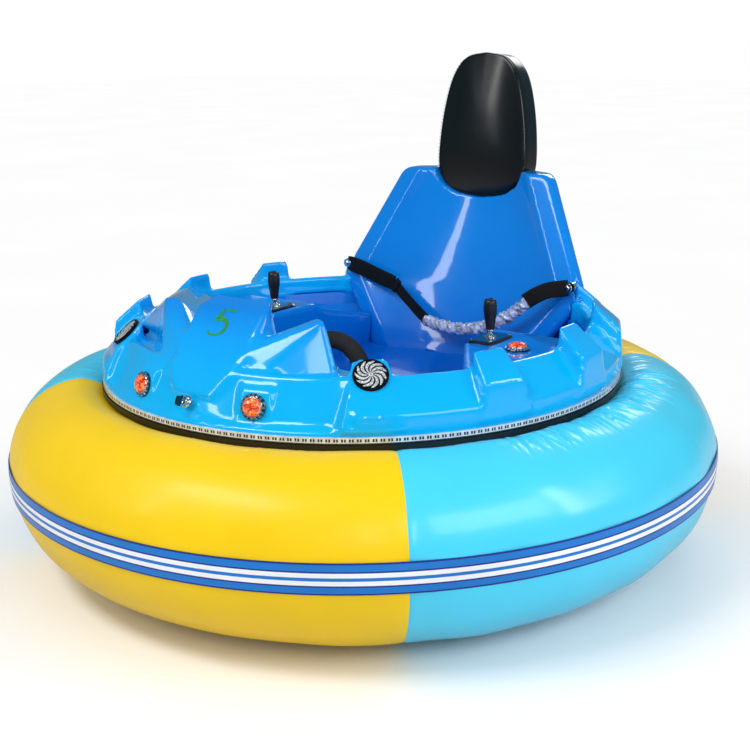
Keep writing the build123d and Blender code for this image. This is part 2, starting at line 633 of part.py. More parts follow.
def build_lights():
    bearing, rise, set_in = RIBS[0]
    for name, side in (("fan_light_left", 1), ("fan_light_right", -1)):
        disc = upright(FAN_RADIUS, FAN_DEPTH)
        disc = chamfer(disc.edges().sort_by(Axis.Z)[-1], 2.0)
        save(name, rib_top_plane(side * bearing, rise, set_in) * disc)
    planes = []
    for side in (1, -1):
        low, high = [Vector(*at(side * LAMP_BEARING, r, 0, z)) for r, z in lamp_pad_points()]
        across = Vector(*at(side * LAMP_BEARING, 0, 1, 0))
        planes.append(Plane(origin=(low + high) / 2, x_dir=across, z_dir=across.cross(high - low)))
        back, y = POD_LAMP_PLACE
        planes.append(Plane(origin=(side * (DECK_RADIUS - back), y, POD_TOP_Z), z_dir=(0, 0, 1)))
    bases, lenses = zip(*(lamp(plane) for plane in planes))
    save("lamp_bezels", Compound([solid for base in bases for solid in base.solids()]))
    save("lamp_lenses", Compound([solid for lens in lenses for solid in lens.solids()]))


def build_key():
    (foot_back, foot_rise), (back, rise) = APRON_FACE[1:3]
    out = Vector(0, -(rise - foot_rise) / (back - foot_back), 1).normalized()
    place = Plane(origin=(0, KEY_IN + KEY_SINK - DECK_RADIUS, DECK_LEDGE_Z + KEY_RISE), z_dir=out)
    save("key_switch", place * upright(KEY_BARREL_RADIUS, KEY_BARREL_LENGTH))
    head = Pos(0, -4, KEY_BARREL_LENGTH + KEY_STEM[2] + 1) * Box(*KEY_HEAD)
    stem = Pos(0, 0, KEY_BARREL_LENGTH + KEY_STEM[2] / 2) * Box(*KEY_STEM)
    save("ignition_key", place * (head + stem))


def grip_section(low_z):
    mid_z = low_z + GRIP_HEIGHT * 0.62
    top_z = low_z + GRIP_HEIGHT
    rim = GRIP_TOP_RADIUS - 1.5
    crown = GRIP_TOP_RADIUS - 9.0
    return Face(Wire([
        Line((0, low_z), (GRIP_LOW_RADIUS, low_z)),
        ThreePointArc((GRIP_LOW_RADIUS, low_z), (GRIP_TOP_RADIUS - 2.2, low_z + GRIP_HEIGHT * 0.3),
                      (GRIP_TOP_RADIUS, mid_z)),
        Line((GRIP_TOP_RADIUS, mid_z), (rim, top_z - 6)),
        ThreePointArc((rim, top_z - 6), (rim - 2.5, top_z - 1.5), (crown, top_z)),
        Line((crown, top_z), (0, top_z)),
        Line((0, top_z), (0, low_z)),
    ]))


def build_joysticks():
    length_x, length_y, height = PLATE_SIZE
    shafts = []
    for side, word in ((1, "left"), (-1, "right")):
        place = Pos(side * (DECK_RADIUS - STICK_PLACE[0]), STICK_PLACE[1], POD_TOP_Z)
        plate = Box(length_x, length_y, height, align=(Align.CENTER, Align.CENTER, Align.MIN))
        plate = chamfer(plate.edges().group_by(Axis.Z)[-1], PLATE_BEVEL)
        save(f"joystick_plate_{word}", place * plate)
        grip = Plane.XZ * Sketch([grip_section(height + SHAFT_HEIGHT)])
        save(f"joystick_grip_{word}", place * revolve(grip, Axis.Z))
        shafts += (place * Pos(0, 0, height) * upright(SHAFT_RADIUS, SHAFT_HEIGHT)).solids()
    save("joystick_shafts", Compound(shafts))


def build_grab_bar():
    """A small hoop that stands in the footwell, with foam on its arch."""
    crown = Pos(0, HOOP_Y, HOOP_SPRING_Z) * Rot(90, 0, 0)

    def arch(radius):
        return crown * Torus(HOOP_RADIUS, radius, major_angle=180, align=Align.NONE)

    bar = arch(HOOP_TUBE_RADIUS)
    for side in (1, -1):
        foot = Pos(side * HOOP_RADIUS, HOOP_Y, FLOOR_Z)
        bar += foot * upright(HOOP_TUBE_RADIUS, HOOP_SPRING_Z - FLOOR_Z)
        bar += foot * upright(HOOP_FOOT_RADIUS, HOOP_FOOT_THICKNESS)
        bar += foot * Pos(0, 0, HOOP_SPRING_Z - HOOP_COLLAR_HEIGHT - FLOOR_Z) * \
            upright(HOOP_FOAM_RADIUS - 3.0, HOOP_COLLAR_HEIGHT)
    save("grab_bar", bar)
    save("grab_bar_foam", arch(HOOP_FOAM_RADIUS) - arch(HOOP_TUBE_RADIUS + HOOP_FOAM_GAP))


def belt_points(points):
    return [Vector(x, BACK_SILL_Y - ahead, SILL_Z + rise) for x, ahead, rise in points]


def strap(points, width, thickness):
    """A flat strap through its points, upright across its run."""
    joined = None
    for start, end in zip(points, points[1:]):
        run = end - start
        plane = Plane(origin=start, x_dir=Vector(0, 0, 1).cross(run), z_dir=run)
        piece = extrude(plane * Rectangle(thickness, width), run.length)
        joined = piece if joined is None else joined + piece
    return joined


def build_belt(seat_back, deck):
    pad, web, wrap, left = [belt_points(p) for p in (BELT_PAD, BELT_WEB, BELT_WRAP, BELT_LEFT)]
    start = Plane(origin=wrap[0], z_dir=wrap[1] - wrap[0])
    sleeve = sweep(start * Circle(WRAP_RADIUS), FilletPolyline(*wrap, radius=WRAP_BEND))
    save("belt_wrap", sleeve)
    right = strap(pad, BELT_PAD_WIDTH, BELT_PAD_THICKNESS) + strap(web, BELT_WEB_WIDTH, BELT_WEB_THICKNESS)
    save("belt_strap_right", right - sleeve)
    save("belt_strap_left", strap(left, BELT_PAD_WIDTH, BELT_PAD_THICKNESS) - sleeve)
    anchors = []
    disc = Cylinder(ANCHOR_RADIUS, ANCHOR_LENGTH, align=(Align.CENTER, Align.CENTER, Align.MAX))
    for end in (pad[0], left[-1]):
        behind = Vector(0, BELT_PAD_THICKNESS / 2 + 2 * SOFT_GAP, 0)
        bolt = Pos(*(end + behind)) * Rot(90, 0, 0) * disc
        anchors += (bolt - seat_back - deck).solids()
    save("belt_anchors", Compound(anchors))


# ---- chassis ---------------------------------------------------------------------------
def build_chassis():
    tube = FRAME_TUBE
    mid_z = FRAME_TOP_Z - tube / 2
    plate_z = FRAME_LOW_Z - MOTOR_PLATE_THICKNESS
    length = 2 * FRAME_RADIUS
    inner = FRAME_RADIUS - tube
    frame = turned(half_section((inner, FRAME_LOW_Z), (FRAME_RADIUS, FRAME_LOW_Z),
                                (FRAME_RADIUS, FRAME_TOP_Z), (inner, FRAME_TOP_Z)))
    plate_low, plate_high = FRAME_RAIL_X - tube / 2, WHEEL_X - WHEEL_WIDTH / 2 - 2 * RUN_GAP
    for side in (1, -1):
        frame += Pos(side * FRAME_RAIL_X, 0, mid_z) * Box(tube, length, tube)
        frame += Pos(0, side * FRAME_CROSS_Y, mid_z) * Box(length, tube, tube)
        frame += Pos(0, side * CASTER_Y, mid_z) * Box(2 * FRAME_RAIL_X, CASTER_PLATE + 10.0, tube)
        for y_side in (1, -1):
            frame += Pos(side * (FRAME_RAIL_X + FRAME_RADIUS) / 2, y_side * OUTRIGGER_Y, mid_z) * \
                Box(FRAME_RADIUS - FRAME_RAIL_X, tube, tube)
        frame += Pos(side * (plate_low + plate_high) / 2, 0, plate_z + MOTOR_PLATE_THICKNESS / 2) * \
            Box(plate_high - plate_low, 2 * OUTRIGGER_Y + tube, MOTOR_PLATE_THICKNESS)
    frame &= raised(Circle(FRAME_RADIUS), plate_z, FRAME_TOP_Z - plate_z)
    save("chassis_frame", frame)
    battery = Box(*BATTERY_SIZE, align=(Align.CENTER, Align.CENTER, Align.MIN))
    save("battery", Pos(0, TUB_FLOOR_RADIUS - BATTERY_IN, FLOOR_Z) * battery)


def build_drive(word, side):
    axle_z = WHEEL_RADIUS
    centre = Pos(side * WHEEL_X, 0, axle_z) * Rot(0, 90, 0)
    half = WHEEL_WIDTH / 2
    tread, wall, corner = WHEEL_RADIUS, WHEEL_RADIUS - TYRE_ROUND, TYRE_ROUND * (1 - sin(radians(45)))
    tyre = Face(Wire([
        Line((HUB_RADIUS, -half), (wall, -half)),
        ThreePointArc((wall, -half), (tread - corner, -half + corner), (tread, -half + TYRE_ROUND)),
        Line((tread, -half + TYRE_ROUND), (tread, half - TYRE_ROUND)),
        ThreePointArc((tread, half - TYRE_ROUND), (tread - corner, half - corner), (wall, half)),
        Line((wall, half), (HUB_RADIUS, half)),
        Line((HUB_RADIUS, half), (HUB_RADIUS, -half)),
    ]))
    save(f"drive_tyre_{word}", centre * revolve(Plane.XZ * Sketch([tyre]), Axis.Z))
    hub = Cylinder(HUB_RADIUS, WHEEL_WIDTH - 6)
    dish = Cylinder(HUB_RADIUS - 10, 12) - Cylinder(AXLE_RADIUS + 8, 12)
    hub = hub - Pos(0, 0, side * (WHEEL_WIDTH / 2 - 8)) * dish
    hub -= Cylinder(AXLE_RADIUS + SOFT_GAP, WHEEL_WIDTH)
    save(f"drive_hub_{word}", centre * hub)
    gear_x, gear_y, gear_z = GEARBOX_SIZE
    inner_x = WHEEL_X - WHEEL_WIDTH / 2 - RUN_GAP
    box_z = FRAME_LOW_Z - MOTOR_PLATE_THICKNESS - gear_z / 2
    gearbox = Pos(side * (inner_x - gear_x / 2), 0, box_z) * Box(gear_x, gear_y, gear_z)
    motor = Pos(side * (inner_x - gear_x - MOTOR_LENGTH / 2), 0, box_z) * Rot(0, 90, 0) * \
        Cylinder(MOTOR_RADIUS, MOTOR_LENGTH)
    reach = WHEEL_WIDTH + RUN_GAP
    axle = Pos(side * (inner_x + reach / 2 - 5), 0, axle_z) * Rot(0, 90, 0) * Cylinder(AXLE_RADIUS, reach + 10)
    save(f"drive_motor_{word}", gearbox + motor + axle)


def build_caster(word, side):
    swivel_y = side * CASTER_Y
    wheel_y = swivel_y + CASTER_TRAIL
    plate = Pos(0, swivel_y, FRAME_LOW_Z - CASTER_PLATE_THICKNESS / 2) * \
        Box(CASTER_PLATE, CASTER_PLATE, CASTER_PLATE_THICKNESS)
    save(f"caster_plate_{word}", plate)
    crown_z = FRAME_LOW_Z - CASTER_PLATE_THICKNESS - SOFT_GAP - CASTER_CROWN_HEIGHT
    crown = Pos(0, swivel_y, crown_z) * upright(CASTER_CROWN_RADIUS, CASTER_CROWN_HEIGHT)
    bridge_low = 2 * CASTER_WHEEL_RADIUS + 6.0
    cheek_gap = CASTER_WHEEL_WIDTH / 2 + 3.0
    thick = CASTER_FORK_THICKNESS
    width = 2 * (cheek_gap + thick)
    bridge = Pos(0, swivel_y + CASTER_TRAIL / 2, (bridge_low + crown_z) / 2 + 2) * \
        Box(width, CASTER_TRAIL + 40, crown_z - bridge_low + 4)
    fork = crown + bridge
    for x_side in (1, -1):
        cheek = Plane.YZ * Polygon(
            (swivel_y - 20, bridge_low + 4), (wheel_y + 20, bridge_low + 4),
            (wheel_y + 12, CASTER_WHEEL_RADIUS - 12), (wheel_y - 12, CASTER_WHEEL_RADIUS - 12), align=None)
        fork += Pos(x_side * (cheek_gap + thick / 2) - thick / 2, 0, 0) * extrude(cheek, thick, dir=(1, 0, 0))
    axis = Pos(0, wheel_y, CASTER_WHEEL_RADIUS) * Rot(0, 90, 0)
    save(f"caster_fork_{word}", fork + axis * Cylinder(CASTER_PIN_RADIUS, width))
    wheel = Cylinder(CASTER_WHEEL_RADIUS, CASTER_WHEEL_WIDTH)
    wheel = fillet(wheel.edges().filter_by(GeomType.CIRCLE), 4.0)
    wheel -= Cylinder(CASTER_PIN_RADIUS + SOFT_GAP, CASTER_WHEEL_WIDTH)
    save(f"caster_wheel_{word}", axis * wheel)


deck_solid = deck_form()
build_bumper_ring()
save("deck_shell", deck_solid - deck_form(WALL))
build_tub()
build_hood(deck_solid)
seat_back = build_cockpit(deck_solid)
build_trim()
build_lights()
build_key()
build_joysticks()
build_grab_bar()
build_belt(seat_back, deck_solid)
build_chassis()
for word, side in (("left", 1), ("right", -1)):
    build_drive(word, side)
for word, side in (("front", -1), ("rear", 1)):
    build_caster(word, side)
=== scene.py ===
import math
import random

import bmesh
import bpy
import numpy as np
from mathutils import Matrix, Vector


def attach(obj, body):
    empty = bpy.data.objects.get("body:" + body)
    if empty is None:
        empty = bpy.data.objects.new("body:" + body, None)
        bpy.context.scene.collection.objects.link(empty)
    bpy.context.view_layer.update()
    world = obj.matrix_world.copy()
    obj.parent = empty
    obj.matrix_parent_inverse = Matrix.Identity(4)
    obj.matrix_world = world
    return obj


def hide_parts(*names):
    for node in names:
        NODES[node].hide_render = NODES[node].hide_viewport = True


# A spin bumper car: an inflated ring round a moulded glass-fibre body.
# Metres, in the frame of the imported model: nose towards -Y, driver's left towards +X.

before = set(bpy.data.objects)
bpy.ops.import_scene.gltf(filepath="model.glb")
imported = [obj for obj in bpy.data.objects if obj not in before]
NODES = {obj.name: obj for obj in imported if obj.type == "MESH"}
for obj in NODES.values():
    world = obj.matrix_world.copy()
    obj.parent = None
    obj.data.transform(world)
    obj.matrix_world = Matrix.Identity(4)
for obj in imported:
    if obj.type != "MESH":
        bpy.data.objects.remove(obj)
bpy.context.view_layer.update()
BODY = "car"


# ---- colours, as they look on a screen
def screen(red, green, blue):
    """A colour given by its 0-255 screen values, as linear light."""
    return tuple(((c / 255 + 0.055) / 1.055) ** 2.4 if c > 10 else c / 255 / 12.92
                 for c in (red, green, blue)) + (1.0,)


GEL_BLUE = (0, 128, 222)
RING_YELLOW = (250, 209, 0)
RING_BLUE = (66, 214, 250)
BAND_BLUE = (0, 122, 212)
BAND_EDGE = (8, 36, 132)
WHITE = (240, 243, 248)


# ---- materials
def feed(tree, value, socket):
    """Links a value that is a node's output, and sets one that isn't."""
    if isinstance(value, bpy.types.NodeSocket):
        tree.links.new(value, socket)
    else:
        socket.default_value = value


class Look:
    """A procedural material while it is wired."""

    def __init__(self, name, **sockets):
        self.material = bpy.data.materials.new(name)
        self.material.use_nodes = True
        self.tree = self.material.node_tree
        self.shader = self.tree.nodes["Principled BSDF"]
        for socket, value in sockets.items():
            self.shader.inputs[socket.replace("_", " ").title().replace("Ior", "IOR")].default_value = value
        self.place = self.tree.nodes.new("ShaderNodeTexCoord").outputs["Object"]

    def node(self, kind, inputs=None, **settings):
        made = self.tree.nodes.new("ShaderNode" + kind)
        for key, value in settings.items():
            setattr(made, key, value)
        for key, value in (inputs or {}).items():
            feed(self.tree, value, made.inputs[key])
        return made

    def noise(self, scale, detail=3.0, rough=0.55):
        return self.node("TexNoise", {"Vector": self.place, "Scale": scale, "Detail": detail,
                                      "Roughness": rough}).outputs["Fac"]

    def ramp(self, source, *stops):
        """A colour ramp; each stop is a position and a screen colour."""
        made = self.node("ValToRGB", {"Fac": source})
        ramp = made.color_ramp
        for index, (position, colour) in enumerate(stops):
            stop = ramp.elements[index] if index < 2 else ramp.elements.new(position)
            stop.position = position
            stop.color = screen(*colour)
        return made.outputs["Color"]

    def span(self, source, low, high, from_low=0.0, from_high=1.0):
        return self.node("MapRange", {"Value": source, "From Min": from_low, "From Max": from_high,
                                      "To Min": low, "To Max": high}).outputs["Result"]

    def math(self, operation, first, second=0.0):
        return self.node("Math", {0: first, 1: second}, operation=operation).outputs[0]

    def mix(self, factor, first, second):
        made = self.node("Mix", data_type="RGBA")
        for socket, value in (("Factor_Float", factor), ("A_Color", first), ("B_Color", second)):
            feed(self.tree, value, next(i for i in made.inputs if i.identifier == socket))
        return next(o for o in made.outputs if o.identifier == "Result_Color")

    def wire(self, **sources):
        for key, source in sources.items():
            self.tree.links.new(source, self.shader.inputs[key.replace("_", " ").title()])
        return self

    def near(self, source, centre, half):
        """1 where the source is within half of the centre, else 0."""
        off = self.math("ABSOLUTE", self.math("SUBTRACT", source, centre))
        return self.math("LESS_THAN", off, half)

    def split(self):
        return self.node("SeparateXYZ", {"Vector": self.place}).outputs

    def bump(self, height, strength, distance, under=None):
        inputs = {"Height": height, "Strength": strength, "Distance": distance}
        if under is not None:
            inputs["Normal"] = under
        return self.node("Bump", inputs).outputs["Normal"]


def varied(name, colour, roughness, spread, scale, grain, depth=0.0003, bump=0.15, **sockets):
    """A finish whose tone drifts softly, with a fine grain in its gloss and its surface."""
    look = Look(name, **sockets)
    darker = tuple(c * (1 - spread) for c in colour)
    lighter = tuple(min(255, c * (1 + spread) + 2) for c in colour)
    drift = look.noise(scale, 4.0)
    grains = look.noise(grain, 2.0)
    low, high = roughness
    look.wire(base_color=look.ramp(drift, (0.3, darker), (0.7, lighter)),
              roughness=look.span(grains, low, high, 0.3, 0.7),
              normal=look.bump(grains, bump, depth))
    return look.material


def gelcoat(name, *stops):
    """Polished glass-fibre moulding: deep gloss with a trace of orange peel. The stops give its colour by
    height; this paints light and shade into the single gelcoat colour."""
    look = Look(name, coat_weight=1.0, coat_roughness=0.04, coat_ior=1.42, specular_ior_level=0.12)
    # the height, blurred by noise, picks the painted light and shade from the stops
    height = look.math("ADD", look.split()[2], look.span(look.noise(2.2, 5.0), -0.04, 0.04))
    peel = look.noise(95.0, 1.0)
    look.wire(base_color=look.ramp(height, *stops),
              roughness=look.span(look.noise(14.0, 6.0), 0.16, 0.26, 0.3, 0.7),
              normal=look.bump(peel, 0.05, 0.0008))
    look.tree.links.new(look.bump(peel, 0.03, 0.0006), look.shader.inputs["Coat Normal"])
    return look.material


def vinyl(name, colour, coat):
    """Coated fabric: the scrim's weave shows faintly through a glossy skin."""
    look = Look(name, coat_weight=coat, coat_roughness=0.2, specular_ior_level=0.28)
    drift = look.noise(3.0, 5.0)
    weave = look.node("TexBrick", {"Vector": look.place, "Scale": 240.0, "Mortar Size": 0.12}).outputs["Fac"]
    scuff = look.noise(36.0, 8.0, 0.7)
    look.wire(base_color=look.ramp(drift, (0.25, tuple(c * 0.95 for c in colour)), (0.75, colour)),
              roughness=look.span(scuff, 0.34, 0.5, 0.3, 0.75),
              normal=look.bump(scuff, 0.08, 0.0006, look.bump(weave, 0.05, 0.0003)))
    return look.material


def metal(name, colour, roughness):
    look = Look(name, metallic=1.0)
    drift = look.noise(30.0, 5.0)
    streak = look.noise(160.0, 4.0, 0.6)
    low, high = roughness
    look.wire(base_color=look.ramp(drift, (0.3, tuple(c * 0.88 for c in colour)), (0.7, colour)),
              roughness=look.span(streak, low, high, 0.3, 0.7),
              normal=look.bump(streak, 0.08, 0.0002))
    return look.material


def glitter(name):
    """Silver foil broken into small facets: each facet's grey-to-white brightness is a painted glint, and its
    bump tilts it.
    """
    look = Look(name, metallic=0.5, coat_weight=0.4)
    cells = look.node("TexVoronoi", {"Vector": look.place, "Scale": 620.0}, feature="F1")
    tone = look.node("SeparateColor", {"Color": cells.outputs["Color"]}).outputs[0]
    # painted glints: each facet gets its own brightness from grey to white
    silver_painted_glints = look.ramp(tone, (0.12, (130, 132, 140)), (0.45, (222, 223, 228)), (0.8, (255, 255, 255)))
    look.wire(base_color=silver_painted_glints,
              roughness=look.span(tone, 0.3, 0.55),
              normal=look.bump(tone, 0.9, 0.0006))
    return look.material


def lens(name):
    """Orange lens whose facets glow unevenly."""
    look = Look(name, coat_weight=1.0, coat_roughness=0.02, specular_ior_level=0.7)
    cells = look.node("TexVoronoi", {"Vector": look.place, "Scale": 230.0}, feature="F1")
    tone = look.node("SeparateColor", {"Color": cells.outputs["Color"]}).outputs[0]
    colour = look.ramp(tone, (0.1, (170, 24, 2)), (0.5, (236, 66, 6)), (0.9, (255, 138, 44)))
    look.wire(base_color=colour, emission_color=colour, roughness=look.span(tone, 0.05, 0.25),
              emission_strength=look.span(tone, 0.05, 0.35), normal=look.bump(tone, 0.5, 0.0006))
    return look.material


LED_COUNT, LED_Z = 250, 0.519


def led_tape(name):
    """White tape under a clear sleeve, with two dark chips for each lamp."""
    look = Look(name, coat_weight=1.0, coat_roughness=0.04)
    x, y, z = look.split()
    turn = look.math("MULTIPLY", look.math("ARCTAN2", x, y), LED_COUNT / (2 * math.pi))
    step = look.math("FRACT", look.math("ADD", turn, 1000.0))
    chips = look.math("ADD", look.near(step, 0.29, 0.13), look.near(step, 0.66, 0.13))
    chips = look.math("MULTIPLY", chips, look.near(z, LED_Z + 0.0008, 0.0037))
    edge = look.near(z, LED_Z - 0.0068, 0.0012)
    drift = look.ramp(look.noise(40.0), (0.3, (188, 194, 204)), (0.7, (232, 236, 242)))
    body = look.mix(chips, drift, screen(14, 15, 18))
    look.wire(base_color=look.mix(edge, body, screen(60, 62, 68)),
              roughness=look.span(look.noise(60.0), 0.08, 0.2))
    return look.material


def wear_band(name):
    """Printed band: a mid blue with navy lines at its edges and beside the stripes."""
    look = Look(name, coat_weight=0.25, coat_roughness=0.15, specular_ior_level=0.3)
    z = look.split()[2]
    up = look.math("ABSOLUTE", look.math("SUBTRACT", z, 0.29))
    navy = look.math("ADD", look.near(up, 0.0362, 0.0022), look.near(up, 0.0168, 0.002))
    body = look.ramp(look.noise(4.0), (0.3, tuple(c * 0.92 for c in BAND_BLUE)), (0.7, BAND_BLUE))
    look.wire(base_color=look.mix(navy, body, screen(*BAND_EDGE)),
              roughness=look.span(look.noise(300.0), 0.28, 0.42),
              normal=look.bump(look.noise(300.0), 0.06, 0.0003))
    return look.material


# Plain finishes: colour, roughness from and to, drift in tone and its scale, then the grain's
# scale, depth and strength
PLAIN = {
    "frame_paint": ((38, 40, 44), (0.38, 0.55), 0.15, 5.0, 320.0, 0.0004, 0.3),
    "motor_grey": ((96, 100, 104), (0.4, 0.55), 0.1, 7.0, 500.0, 0.0004, 0.3),
    "tyre": ((28, 28, 30), (0.6, 0.8), 0.15, 9.0, 700.0, 0.0004, 0.3),
    "hub": ((190, 192, 196), (0.3, 0.45), 0.06, 6.0, 300.0, 0.0003, 0.2),
    "caster_tread": ((70, 72, 76), (0.45, 0.6), 0.1, 9.0, 500.0),
    "battery": ((30, 32, 36), (0.4, 0.55), 0.1, 5.0, 300.0, 0.0004, 0.2),
    "rubber": ((16, 16, 18), (0.3, 0.45), 0.2, 6.0, 500.0, 0.0002, 0.2),
    "matt_black": ((5, 5, 6), (0.5, 0.65), 0.2, 8.0, 500.0, 0.0002, 0.1),
    "plastic_black": ((12, 12, 14), (0.12, 0.22), 0.2, 8.0, 400.0, 0.0001, 0.1),
    "grip": ((18, 18, 20), (0.3, 0.42), 0.15, 8.0, 900.0, 0.0003, 0.3),
    "foam": ((20, 20, 22), (0.75, 0.95), 0.25, 20.0, 1200.0, 0.0008, 0.6),
    "leather": ((6, 6, 6), (0.15, 0.23), 0.2, 6.0, 420.0, 0.0002, 0.06),
    "webbing": ((8, 8, 9), (0.55, 0.75), 0.2, 12.0, 900.0, 0.0004, 0.3),
    "green_paint": ((20, 140, 60), (0.3, 0.45), 0.1, 40.0, 300.0),
    "white": (WHITE, (0.3, 0.42), 0.03, 4.0, 400.0),
    "wrap": ((140, 150, 182), (0.08, 0.25), 0.42, 55.0, 130.0, 0.003, 0.8),
}
EXTRA = {
    "hub": {"metallic": 0.6}, "matt_black": {"specular_ior_level": 0.12},
    "plastic_black": {"coat_weight": 0.5}, "leather": {"specular_ior_level": 0.45},
    "webbing": {"specular_ior_level": 0.2}, "wrap": {"coat_weight": 1.0},
}
M = {name: varied(name, *row, **EXTRA.get(name, {})) for name, row in PLAIN.items()}
M.update({
    # painted light and shade by height: lighter on the deck low down, darker on the hood's top
    "gel_blue": gelcoat("gel_blue", (0.52, (0, 178, 243)), (0.63, (0, 172, 243)), (0.72, (0, 156, 238)),
                        (0.78, GEL_BLUE)),
    # painted shade: darker lower down in the cockpit, seat and pods, up to the plain gelcoat at the top
    "gel_painted_shade": gelcoat("gel_painted_shade", (0.4, (0, 84, 190)), (0.6, (0, 120, 218)), (0.8, (0, 132, 228)),
                        (1.0, GEL_BLUE)),
    "ring_yellow": vinyl("ring_yellow", RING_YELLOW, 0.12),
    "ring_blue": vinyl("ring_blue", RING_BLUE, 0.7),
    "chrome": metal("chrome", (225, 228, 232), (0.05, 0.14)),
    "zinc": metal("zinc", (170, 172, 168), (0.32, 0.5)),
    "band_blue": wear_band("band_blue"),
    "led_tape": led_tape("led_tape"),
    "glitter": glitter("glitter"),
    "lens": lens("lens"),
})
# The CAD nodes that show as they are
FINISHES = {
    "wear_band": "band_blue", "band_stripes": "white", "cockpit_tub": "gel_painted_shade", "seat_base": "gel_painted_shade",
    "edge_trim": "rubber", "led_strip": "led_tape", "grab_bar": "chrome", "belt_anchors": "chrome",
    "chassis_frame": "frame_paint", "battery": "battery",
}
for ends, kinds in (
        (("left", "right"), {"drive_motor": "motor_grey", "drive_tyre": "tyre", "drive_hub": "hub"}),
        (("front", "rear"), {"caster_plate": "zinc", "caster_fork": "zinc", "caster_wheel": "caster_tread"})):
    FINISHES.update({f"{kind}_{end}": finish for kind, finish in kinds.items() for end in ends})


def finish_nodes():
    """Gives the shown CAD nodes their material, and smooth faces between sharp edges."""
    for node, finish in FINISHES.items():
        mesh = NODES[node].data
        mesh.materials.clear()
        mesh.materials.append(M[finish])
        weld = NODES[node].modifiers.new("weld", "WELD")
        weld.merge_threshold = 0.00002
        mesh.shade_smooth()
        edges = NODES[node].modifiers.new("edges", "EDGE_SPLIT")
        edges.split_angle = math.radians(28)


# ---- building pieces
LEVEL = (Vector((1, 0, 0)), Vector((0, 1, 0)), Vector((0, 0, 1)))


def placed(name, data):
    """A new object in the scene."""
    made = bpy.data.objects.new(name, data)
    bpy.context.scene.collection.objects.link(made)
    return made


def turns(count):
    """Angles of even steps round a circle, in radians."""
    return [2 * math.pi * i / count for i in range(count)]


def fine(full):
    return full


def piece(name, verts, faces, finish, *nodes, crease=32.0, slot=None):
    """A piece of the car from its corners and faces, which stands for the CAD nodes named."""
    mesh = bpy.data.meshes.new(name)
    mesh.from_pydata([tuple(v) for v in verts], [], faces)
    return finish_piece(name, mesh, finish, nodes, crease)


def finish_piece(name, mesh, finish, nodes=(), crease=32.0):
    mesh.validate()
    mesh.materials.clear()
    mesh.materials.append(M[finish])
    mesh.shade_smooth()
    if crease:
        mesh.set_sharp_from_angle(angle=math.radians(crease))
    made = placed(name, mesh)
    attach(made, BODY)
    if nodes:
        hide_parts(*nodes)
    return made


def hull(points):
    """The corners and faces of the convex body round some points."""
    bm = bmesh.new()
    for p in points:
        bm.verts.new(p)
    result = bmesh.ops.convex_hull(bm, input=bm.verts)
    spare = [g for g in result["geom_interior"] + result["geom_unused"] if isinstance(g, bmesh.types.BMVert)]
    bmesh.ops.delete(bm, geom=list(set(spare)), context="VERTS")
    bm.verts.index_update()
    verts = [v.co.copy() for v in bm.verts]
    faces = [[v.index for v in f.verts] for f in bm.faces]
    bm.free()
    return verts, faces


def gathered(bodies):
    verts, faces = [], []
    for body_verts, body_faces in bodies:
        start = len(verts)
        verts += body_verts
        faces += [[i + start for i in face] for face in body_faces]
    return verts, faces


def moulded(name, mesh, finish, nodes, voxel, rounds, cutter=None):
    """Melts overlapping closed bodies into one skin, with soft edges and soft inner corners."""
    raw = placed(name + ".raw", mesh)
    remesh = raw.modifiers.new("melt", "REMESH")
    remesh.mode = "VOXEL"
    remesh.voxel_size = voxel
    if cutter:
        cut = raw.modifiers.new("cut", "BOOLEAN")
        cut.object = cutter
        cut.operation = "DIFFERENCE"
        cut.solver = "EXACT"
    soften = raw.modifiers.new("soften", "SMOOTH")
    soften.factor = 0.5
    soften.iterations = rounds
    graph = bpy.context.evaluated_depsgraph_get()
    skin = bpy.data.meshes.new_from_object(raw.evaluated_get(graph))
    bpy.data.objects.remove(raw)
    skin.name = name
    return finish_piece(name, skin, finish, nodes, None)


def ring_faces(rows, count, capped=True, closed=False):
    """Faces between rows of points, each row a closed ring. closed joins the last row to the first."""
    faces = []
    for i in range(rows if closed else rows - 1):
        k = (i + 1) % rows
        for j in range(count):
            m = (j + 1) % count
            faces.append([i * count + j, i * count + m, k * count + m, k * count + j])
    if capped:
        faces += [list(range(count))[::-1], [(rows - 1) * count + j for j in range(count)]]
    return faces


def circle(radius, turns):
    """Points of a plan from a radius and angles."""
    return [(radius * math.cos(t), radius * math.sin(t)) for t in turns]


def mesh_of(verts, faces):
    mesh = bpy.data.meshes.new("raw")
    mesh.from_pydata([tuple(v) for v in verts], [], faces)
    return mesh


def polar(bearing, radius, across=0.0, z=0.0):
    """A point by bearing from the nose, in degrees, distance out, distance across and height."""
    b = math.radians(bearing)
    return Vector((radius * math.sin(b) + across * math.cos(b),
                   -radius * math.cos(b) + across * math.sin(b), z))


def lathe(profile, count, origin=(0, 0, 0), axes=None):
    """Turns a profile of radius and height about a frame's third axis; a radius of 0 closes an end."""
    origin = Vector(origin)
    x, y, z = axes or LEVEL
    verts, faces, rings = [], [], []
    for radius, height in profile:
        if radius == 0:
            rings.append([len(verts)])
            verts.append(origin + z * height)
        else:
            rings.append(range(len(verts), len(verts) + count))
            verts += [origin + (x * math.cos(turn) + y * math.sin(turn)) * radius + z * height
                      for turn in turns(count)]
    for low, high in zip(rings, rings[1:]):
        for i in range(count):
            j = (i + 1) % count
            if len(low) == 1:
                faces.append([low[0], high[j], high[i]])
            elif len(high) == 1:
                faces.append([low[i], low[j], high[0]])
            else:
                faces.append([low[i], low[j], high[j], high[i]])
    return verts, faces


